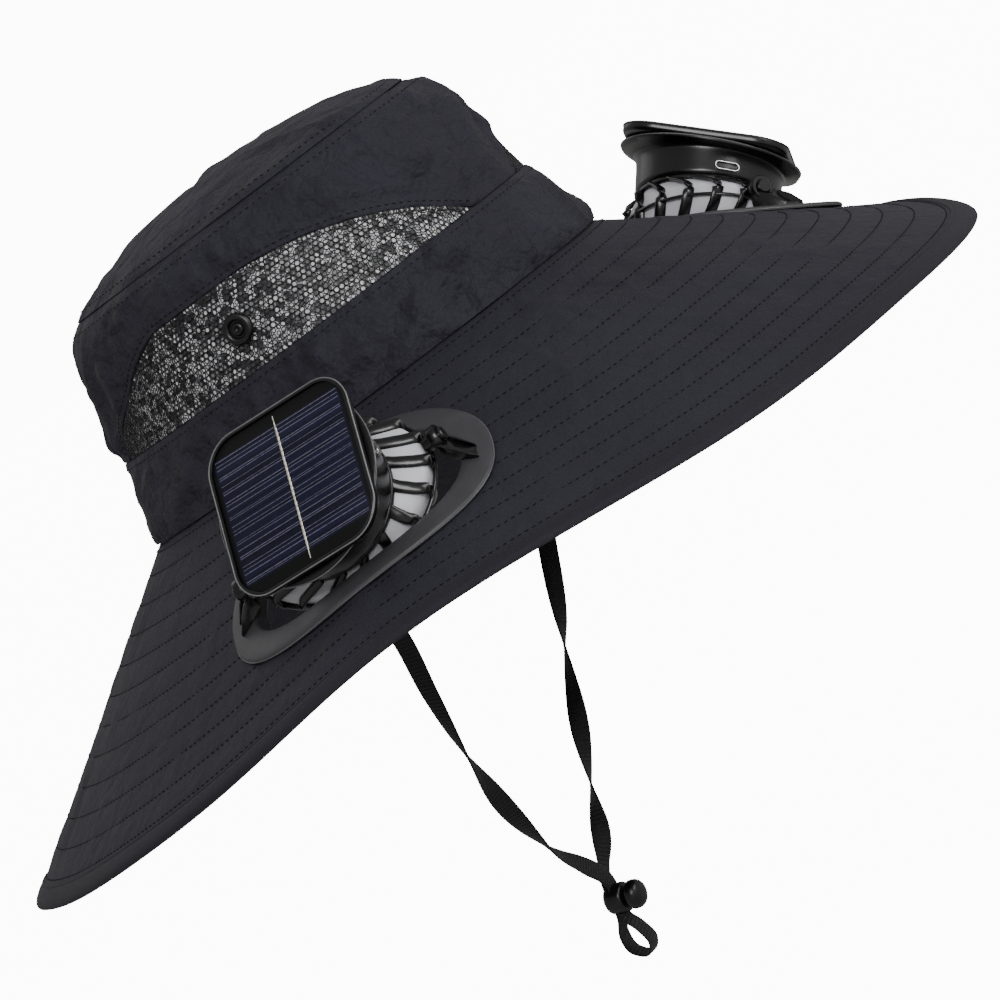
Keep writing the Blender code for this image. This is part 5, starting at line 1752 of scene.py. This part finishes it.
    def finger_lines(self, place: Matrix, half: float, top: float) -> None:
        """Thin printed lines across the cell, at uneven steps."""
        bench = GeometryBench("cell_fingers")
        width, height = bench.size("Line width"), bench.size("Line height")
        points = bench.add("GeometryNodeMeshToPoints", {0: bench.start.outputs[0]})
        bar = bench.add("GeometryNodeMeshCube", {"Size": (1.0, 1.0, 1.0)})
        length = bench.add("ShaderNodeVectorMath", {0: bench.attribute("span")}, operation="LENGTH").outputs[1]
        thick = bench.math("MULTIPLY", width, bench.random(0.55, 1.3, 3))
        bench.close(bench.spread(points, bar, bench.vector(length, thick, height)), self.finishes.finger)
        reach = half - 0.0052
        step = 2 * reach / (self.fingers - 1)
        spots, spans = [], []
        for index in range(self.fingers):
            jitter = 0.33 * step * math.sin(index * 2.4 + 0.7)
            y = max(-reach, min(reach, -reach + step * index + jitter))
            spots.append((0.0, y, top + 0.00003))
            spans.append((2 * (half - 0.0021), 0.0, 0.0))
        name = self.piece_name("cell_fingers")
        carrier = carried(f"{name}_steps", [spots], {"span": [spans]})
        piece = bench.grow(carrier, name, {"Line width": 0.00026, "Line height": 0.00006})
        piece.data.transform(place)
        place_piece(piece, self.head, Slot.SILICON)

    def busbar(self, place: Matrix, half: float, top: float) -> None:
        """The soldered strip across the fingers, beaded with solder."""
        reach = half - 0.0016
        along = np.linspace(-reach, reach, 120)
        bead = 0.5 + 0.5 * np.sin(along * 2 * math.pi / 0.0019)
        wide = (0.00034 + 0.00016 * bead) * np.clip((reach - np.abs(along)) / 0.006, 0.35, 1.0)
        tall = 0.00022 + 0.00012 * bead
        base = top + 0.00006
        section = ((-1.0, 0.0), (1.0, 0.0), (0.8, 0.6), (0.35, 1.0), (-0.35, 1.0), (-0.8, 0.6))
        grid = np.array([[(x * w, y, base + z * h) for x, z in section] for y, w, h in zip(along, wide, tall)])
        self.put("solder_strip", grid, self.finishes.tin, Slot.TINNED_METAL, "busbar", place)

    def port(self) -> None:
        """The charging port: a plated oval rim with a dark slot and its tongue."""
        level = self.port_level + self.port_height / 2
        share = (level - self.seat) / self.drum_height
        radius = self.drum_radius(float(flowing(self.drum_places, self.drum_overhangs, share)))
        spin = Matrix.Rotation(math.radians(self.fan.port), 4, "Z")
        seat = Matrix.Translation((radius + 0.00015, 0, self.port_level))
        place = self.fan.head_frame() @ spin @ seat @ Matrix.Rotation(math.radians(90), 4, "Y")

        def ovals(*rows: tuple[float, float]) -> np.ndarray:
            half = self.port_height / 2
            turns = whole_turn(32) + math.pi / 32
            straight = np.copysign(self.port_length / 2 - half, np.sin(turns))
            rings = [
                (scale * half * np.cos(turns), scale * half * np.sin(turns) + straight, np.full(32, height))
                for scale, height in rows
            ]
            return np.stack(rings).transpose(0, 2, 1)

        rim = ovals((1.0, -0.0009), (1.0, 0.0004), (0.95, 0.0006), (0.84, 0.0006), (0.78, 0.0003), (0.76, -0.0004),
                    (0.76, -0.0009))
        self.put("port_rim", across_rings(rim), self.finishes.plated, Slot.TINNED_METAL, "usb_port", place, True)
        tongue = ovals((0.74, -0.0008), (0.74, -0.0003), (0.66, -0.00025))
        self.put("port_slot", tongue, self.finishes.satin, Slot.BLACK_PLASTIC, place=place)

    def blade(self, index: int) -> np.ndarray:
        """One broad blade as sections from the hub to the ring."""
        start = 2 * math.pi * index / self.blades
        sections = []
        for share in np.linspace(0, 1, 9):
            radius = self.hub_radius - 0.0006 + (self.rotor_radius - self.hub_radius + 0.0003) * share
            sweep = math.radians(16) * share * share
            span = math.radians(62 - 12 * share)
            rise = 0.0052 + 0.0006 * share
            upper, lower = [], []
            for step in np.linspace(-0.5, 0.5, 9):
                turn = start + self.fan.side * (sweep + span * step)
                level = rise * 2 * step + 0.0006 * math.cos(math.pi * step)
                thick = 0.00075 * math.cos(math.pi * step * 0.9) + 0.0001
                x, y = radius * math.cos(turn), radius * math.sin(turn)
                upper.append((x, y, level + thick))
                lower.append((x, y, level - thick))
            sections.append(upper + lower[::-1])
        return np.array(sections)

    def rotor(self) -> bpy.types.Object:
        """The pale impeller: hub, broad blades and a thin ring, on its shaft."""
        place = self.fan.head_frame()
        name = self.piece_name("rotor")
        pale = self.finishes.pale
        hub_rows = ((0.0030, -0.0066), (0.0052, -0.0063), (0.0066, -0.0052), (0.0070, -0.0036), (0.0070, 0.0050),
                    (0.0064, 0.0062), (0.0040, 0.0065), (0.0025, 0.0066), (0.0025, self.seat - FORM.gap))
        pieces = [lofted(f"{name}_hub", moved(turned(hub_rows, 56), place), pale)]
        for index in range(self.blades):
            pieces.append(lofted(f"{name}_blade{index}", moved(self.blade(index), place), pale))
        ring_rows = ((0.0229, -0.0066), (0.0234, -0.0070), (0.0238, -0.0066), (0.0241, 0.0), (0.0243, 0.0066),
                     (0.0240, 0.0071), (0.0235, 0.0067), (0.0232, 0.0))
        ring = across_rings(turned(ring_rows, 120))
        pieces.append(lofted(f"{name}_ring", moved(ring, place), pale, ring=True))
        return place_piece(softened(joined(name, pieces), 40), name, Slot.PALE_PLASTIC, self.piece_name("impeller"))

    def build(self) -> None:
        """Builds the fan's pieces."""
        self.plate()
        self.bracket(-self.fan.side, "front")
        self.bracket(self.fan.side, "rear")
        self.cage_ribs()
        self.cage_frame()
        self.liner()
        self.edges()
        self.drum()
        self.panel()
        self.cell()
        self.port()
        self.rotor()


@dataclass
class ChinStrap:
    """The flat webbing and its round lock."""

    finishes: Finishes
    width: float = 0.0070
    thickness: float = 0.0010
    rib: float = 0.0015
    rib_height: float = 0.00012
    steps_per_rib: int = 4
    lock_place: tuple = (0.0, 0.0513, -0.1984)
    lock_lean: float = 14.5
    lock_radius: float = 0.0056
    lock_front: float = 0.0050
    lock_rear: float = 0.0030
    plunger_radius: float = 0.0053
    plunger_height: float = 0.0048
    plunger_travel: float = 0.0016
    stem_radius: float = 0.0022
    stem_length: float = 0.0026
    route: tuple = (
        (-0.0813, 0.0000, 0.0080, -90),
        (-0.0829, 0.0004, -0.0060, -90),
        (-0.0785, 0.0030, -0.0270, -86),
        (-0.0702, 0.0075, -0.0510, -80),
        (-0.0612, 0.0134, -0.0739, -75),
        (-0.0560, 0.0217, -0.0970, -95),
        (-0.0485, 0.0305, -0.1224, -145),
        (-0.0384, 0.0376, -0.1454, -235),
        (-0.0245, 0.0435, -0.1675, -325),
        (-0.0125, 0.0455, -0.1795, -358),
        (-0.0042, 0.0472, -0.1868, -360),
        (0.0000, 0.0490, -0.1926, -360),
        (0.0000, 0.0506, -0.1986, -360),
        (0.0000, 0.0522, -0.2048, -360),
        (0.0020, 0.0512, -0.2113, -360),
        (0.0044, 0.0520, -0.2180, -360),
        (0.0052, 0.0566, -0.2218, -360),
        (0.0044, 0.0610, -0.2175, -360),
        (0.0020, 0.0590, -0.2108, -360),
        (0.0000, 0.0536, -0.2044, -360),
        (0.0000, 0.0520, -0.1982, -360),
        (0.0000, 0.0505, -0.1921, -360),
        (0.0036, 0.0487, -0.1856, -364),
        (0.0095, 0.0460, -0.1770, -410),
        (0.0164, 0.0417, -0.1615, -505),
        (0.0270, 0.0362, -0.1402, -595),
        (0.0385, 0.0305, -0.1180, -685),
        (0.0455, 0.0272, -0.1059, -735),
        (0.0567, 0.0219, -0.0849, -775),
        (0.0655, 0.0160, -0.0670, -790),
        (0.0740, 0.0085, -0.0440, -800),
        (0.0797, 0.0033, -0.0240, -808),
        (0.0829, 0.0004, -0.0060, -810),
        (0.0813, 0.0000, 0.0080, -810),
    )

    def stations(self) -> np.ndarray:
        """Even steps along the smooth curve through the route, with the heading at each."""
        rows = np.array([self.route[0], *self.route, self.route[-1]], float)
        dense = []
        for before, first, second, after in zip(rows, rows[1:], rows[2:], rows[3:]):
            for share in np.arange(0, 1, 1 / 60):
                bend = (second - before) * share + (2 * before - 5 * first + 4 * second - after) * share**2
                dense.append(first + 0.5 * (bend + (3 * first - before - 3 * second + after) * share**3))
        dense.append(rows[-1])
        dense = np.array(dense)
        gone = np.concatenate([[0.0], np.cumsum(np.linalg.norm(np.diff(dense[:, :3], axis=0), axis=1))])
        at = np.arange(0, gone[-1], self.rib / self.steps_per_rib)
        even = np.stack([np.interp(at, gone, dense[:, part]) for part in range(4)], axis=-1)
        for _ in range(3):
            even[1:-1] = (even[:-2] + 2 * even[1:-1] + even[2:]) / 4
        return even

    def webbing(self) -> tuple[bpy.types.Object, np.ndarray, float]:
        """The ribbed webbing.

        Returns:
            The piece, its middle line and its length.
        """
        stations = self.stations()
        middle = stations[:, :3]
        tangent = np.gradient(middle, axis=0)
        tangent /= np.linalg.norm(tangent, axis=1, keepdims=True)
        heading = np.radians(stations[:, 3])
        across = np.stack([np.cos(heading), np.sin(heading), np.zeros(len(heading))], axis=-1)
        across -= tangent * (across * tangent).sum(axis=1, keepdims=True)
        across /= np.linalg.norm(across, axis=1, keepdims=True)
        face = np.cross(tangent, across)
        step = self.rib / self.steps_per_rib
        along = np.arange(len(middle)) * step
        swell = self.rib_height * (0.5 + 0.5 * np.cos(2 * math.pi * along / self.rib))
        section = (
            (-1.0, 0.25, 0.0), (-0.93, 0.85, 0.3), (-0.80, 0.98, 0.9), (0.0, 1.0, 1.0), (0.80, 0.98, 0.9),
            (0.93, 0.85, 0.3), (1.0, 0.25, 0.0), (1.0, -0.25, 0.0), (0.93, -0.85, -0.3), (0.80, -0.98, -0.9),
            (0.0, -1.0, -1.0), (-0.80, -0.98, -0.9), (-0.93, -0.85, -0.3), (-1.0, -0.25, 0.0),
        )
        half_width, half_thick = self.width / 2, self.thickness / 2 - self.rib_height
        sections = [
            middle + across * wide * half_width + face * (thick * half_thick + swell * share)[:, None]
            for wide, thick, share in section
        ]
        flat = flat_places(np.array([*(wide for wide, _, _ in section), -1.0]) * half_width, along[:, None])
        piece = lofted("strap_webbing", across_rings(sections), self.finishes.webbing, flat=flat)
        return piece, middle, float(np.linalg.norm(np.diff(middle, axis=0), axis=1).sum())

    def lock(self) -> tuple[bpy.types.Object, bpy.types.Object]:
        """The lock's slotted body and its plunger."""
        place = Matrix.Translation(self.lock_place) @ Matrix.Rotation(math.radians(self.lock_lean), 4, "X")
        over = place @ Matrix.Rotation(math.radians(90), 4, "X")
        radius, front, rear = self.lock_radius, self.lock_front, self.lock_rear
        body_rows = (
            (radius * 0.45, -rear), (radius * 0.72, -rear + 0.0002), (radius * 0.88, -rear + 0.0008),
            (radius * 0.97, -rear + 0.0018), (radius, -rear + 0.0030), (radius, front - 0.0018),
            (radius * 0.985, front - 0.0010), (radius * 0.94, front - 0.0004), (radius * 0.84, front),
        )
        body = lofted("lock_shell", moved(turned(body_rows, 64), over), self.finishes.satin)
        half_width = self.width / 2 + 0.0004
        half_depth = 0.00165
        corners = ((-1, -1), (1, -1), (1, 1), (-1, 1))
        slot = np.array([[(x * half_width, y * half_depth, z) for x, y in corners] for z in (-0.012, 0.012)])
        cut(body, lofted("lock_slot", moved(slot, place), self.finishes.satin))
        bore = turned(((self.stem_radius + 0.0003, front - self.stem_length), (self.stem_radius + 0.0003, 0.02)), 32)
        cut(body, lofted("lock_bore", moved(bore, over), self.finishes.satin))
        body.data.set_sharp_from_angle(angle=math.radians(40))
        back = front + FORM.gap + self.plunger_travel
        low = front - self.stem_length + FORM.gap + self.plunger_travel
        plunger_rows = [(self.stem_radius, low), (self.stem_radius, back)]
        for share, rise in ((0.94, 0.0), (1.0, 0.10), (1.0, 0.36), (0.975, 0.52), (0.91, 0.68), (0.80, 0.82),
                            (0.62, 0.93), (0.38, 0.99), (0.15, 1.0)):
            plunger_rows.append((self.plunger_radius * share, back + self.plunger_height * rise))
        plunger = lofted("lock_plunger", moved(turned(plunger_rows, 64), over), self.finishes.satin)
        return body, plunger

    def build(self) -> None:
        piece, middle, length = self.webbing()
        place_piece(piece, "hat", Slot.WEBBING, "chin_strap")
        body, plunger = self.lock()
        place_piece(body, "hat", Slot.BLACK_PLASTIC, "cord_lock_body")
        place_piece(plunger, "lock_button", Slot.BLACK_PLASTIC, "cord_lock_plunger")
        LOG.info("the strap is %.3f m long", length)


@dataclass
class Studio:
    """Camera, floor and soft light."""

    azimuth: float = -55.5
    elevation: float = 3.12
    roll: float = 37.0
    distance: float = 2.5
    focal_pixels: float = 7183.0
    picture: float = 1000.0
    sensor: float = 36.0
    look: tuple[float, float] = (0.0099, -0.0592)
    floor_level: float = -0.262
    lamp_aim: tuple = (0.0, 0.0, -0.05)

    def camera(self) -> None:
        """The camera at the photograph's angle."""
        turn, lift, roll = (math.radians(part) for part in (self.azimuth, self.elevation, self.roll))
        back = Vector((math.sin(turn) * math.cos(lift), -math.cos(turn) * math.cos(lift), math.sin(lift)))
        right = Vector((math.cos(turn), math.sin(turn), 0.0))
        up = back.cross(right)
        aim = right * self.look[0] + up * self.look[1]
        camera_right = right * math.cos(roll) - up * math.sin(roll)
        camera_up = right * math.sin(roll) + up * math.cos(roll)
        place = Matrix((camera_right, camera_up, back)).transposed().to_4x4()
        place.translation = aim + back * self.distance
        data = bpy.data.cameras.new("photo_camera")
        data.sensor_width = self.sensor
        data.lens = self.focal_pixels * self.sensor / self.picture
        data.clip_end = 60.0
        camera = linked("photo_camera", data)
        camera.matrix_world = place
        bpy.context.scene.camera = camera

    def floor(self) -> None:
        """A plain pale floor."""
        bench = ShaderBench("floor_paper")
        paper = bench.noise(bench.coordinates(), 3.0)
        seen = bench.add("ShaderNodeLightPath").outputs["Is Camera Ray"]
        bench.set(
            Base_Color=bench.mix(paper, (0.60, 0.60, 0.59, 1.0), (0.64, 0.64, 0.63, 1.0)),
            Roughness=0.9,
            Emission_Color=(1.0, 1.0, 0.995, 1.0),
            Emission_Strength=bench.math("MULTIPLY", seen, 12.0),
            Specular_IOR_Level=0.1,
        )
        half = 40.0
        corners = [(x * half, y * half, self.floor_level) for x, y in ((-1, -1), (1, -1), (1, 1), (-1, 1))]
        mesh = bpy.data.meshes.new("floor")
        mesh.from_pydata(corners, [], [(0, 1, 2, 3)])
        mesh.materials.append(bench.material)
        floor = linked("floor", mesh)

    def lamp(self, name: str, place: tuple, size: float, power: float) -> None:
        """A square softbox that faces the hat."""
        data = bpy.data.lights.new(name, "AREA")
        data.shape = "SQUARE"
        data.size = size
        data.energy = power
        lamp = linked(name, data)
        lamp.location = place
        lamp.rotation_euler = (Vector(place) - Vector(self.lamp_aim)).to_track_quat("Z", "Y").to_euler()

    def light(self) -> None:
        """Soft studio light: a pale room and three softboxes."""
        world = bpy.data.worlds.new("pale_room")
        world.use_nodes = True
        bench = NodeBench(world.node_tree)
        background = world.node_tree.nodes["Background"]
        seen = bench.add("ShaderNodeLightPath").outputs["Is Camera Ray"]
        strength = bench.math("ADD", bench.math("MULTIPLY", seen, 11.65), 0.35)
        background.inputs["Color"].default_value = (1.0, 1.0, 1.0, 1.0)
        bench.feed(background.inputs["Strength"], strength)
        bpy.context.scene.world = world
        self.lamp("key_softbox", (-1.7, -1.35, 1.0), 1.0, 34.0)
        self.lamp("fill_softbox", (0.3, -2.2, 0.7), 1.2, 20.0)
        self.lamp("back_softbox", (0.9, 1.5, 1.5), 1.2, 2.0)

    def build(self) -> None:
        """Builds the studio."""
        self.camera()
        self.floor()
        self.light()


def main() -> None:
    """Builds the studio and the hat, piece by piece."""
    logging.basicConfig(level=logging.INFO, format="%(message)s")
    Studio().build()
    finishes = Finishes()
    stitcher = Stitcher(finishes.thread)
    ChinStrap(finishes).build()
    Crown(finishes, stitcher).build()
    Brim(finishes, stitcher).build()
    for fan in FANS:
        MeshWindow(finishes, fan).build()
        FanUnit(finishes, fan).build()


if __name__ == "__main__":
    main()
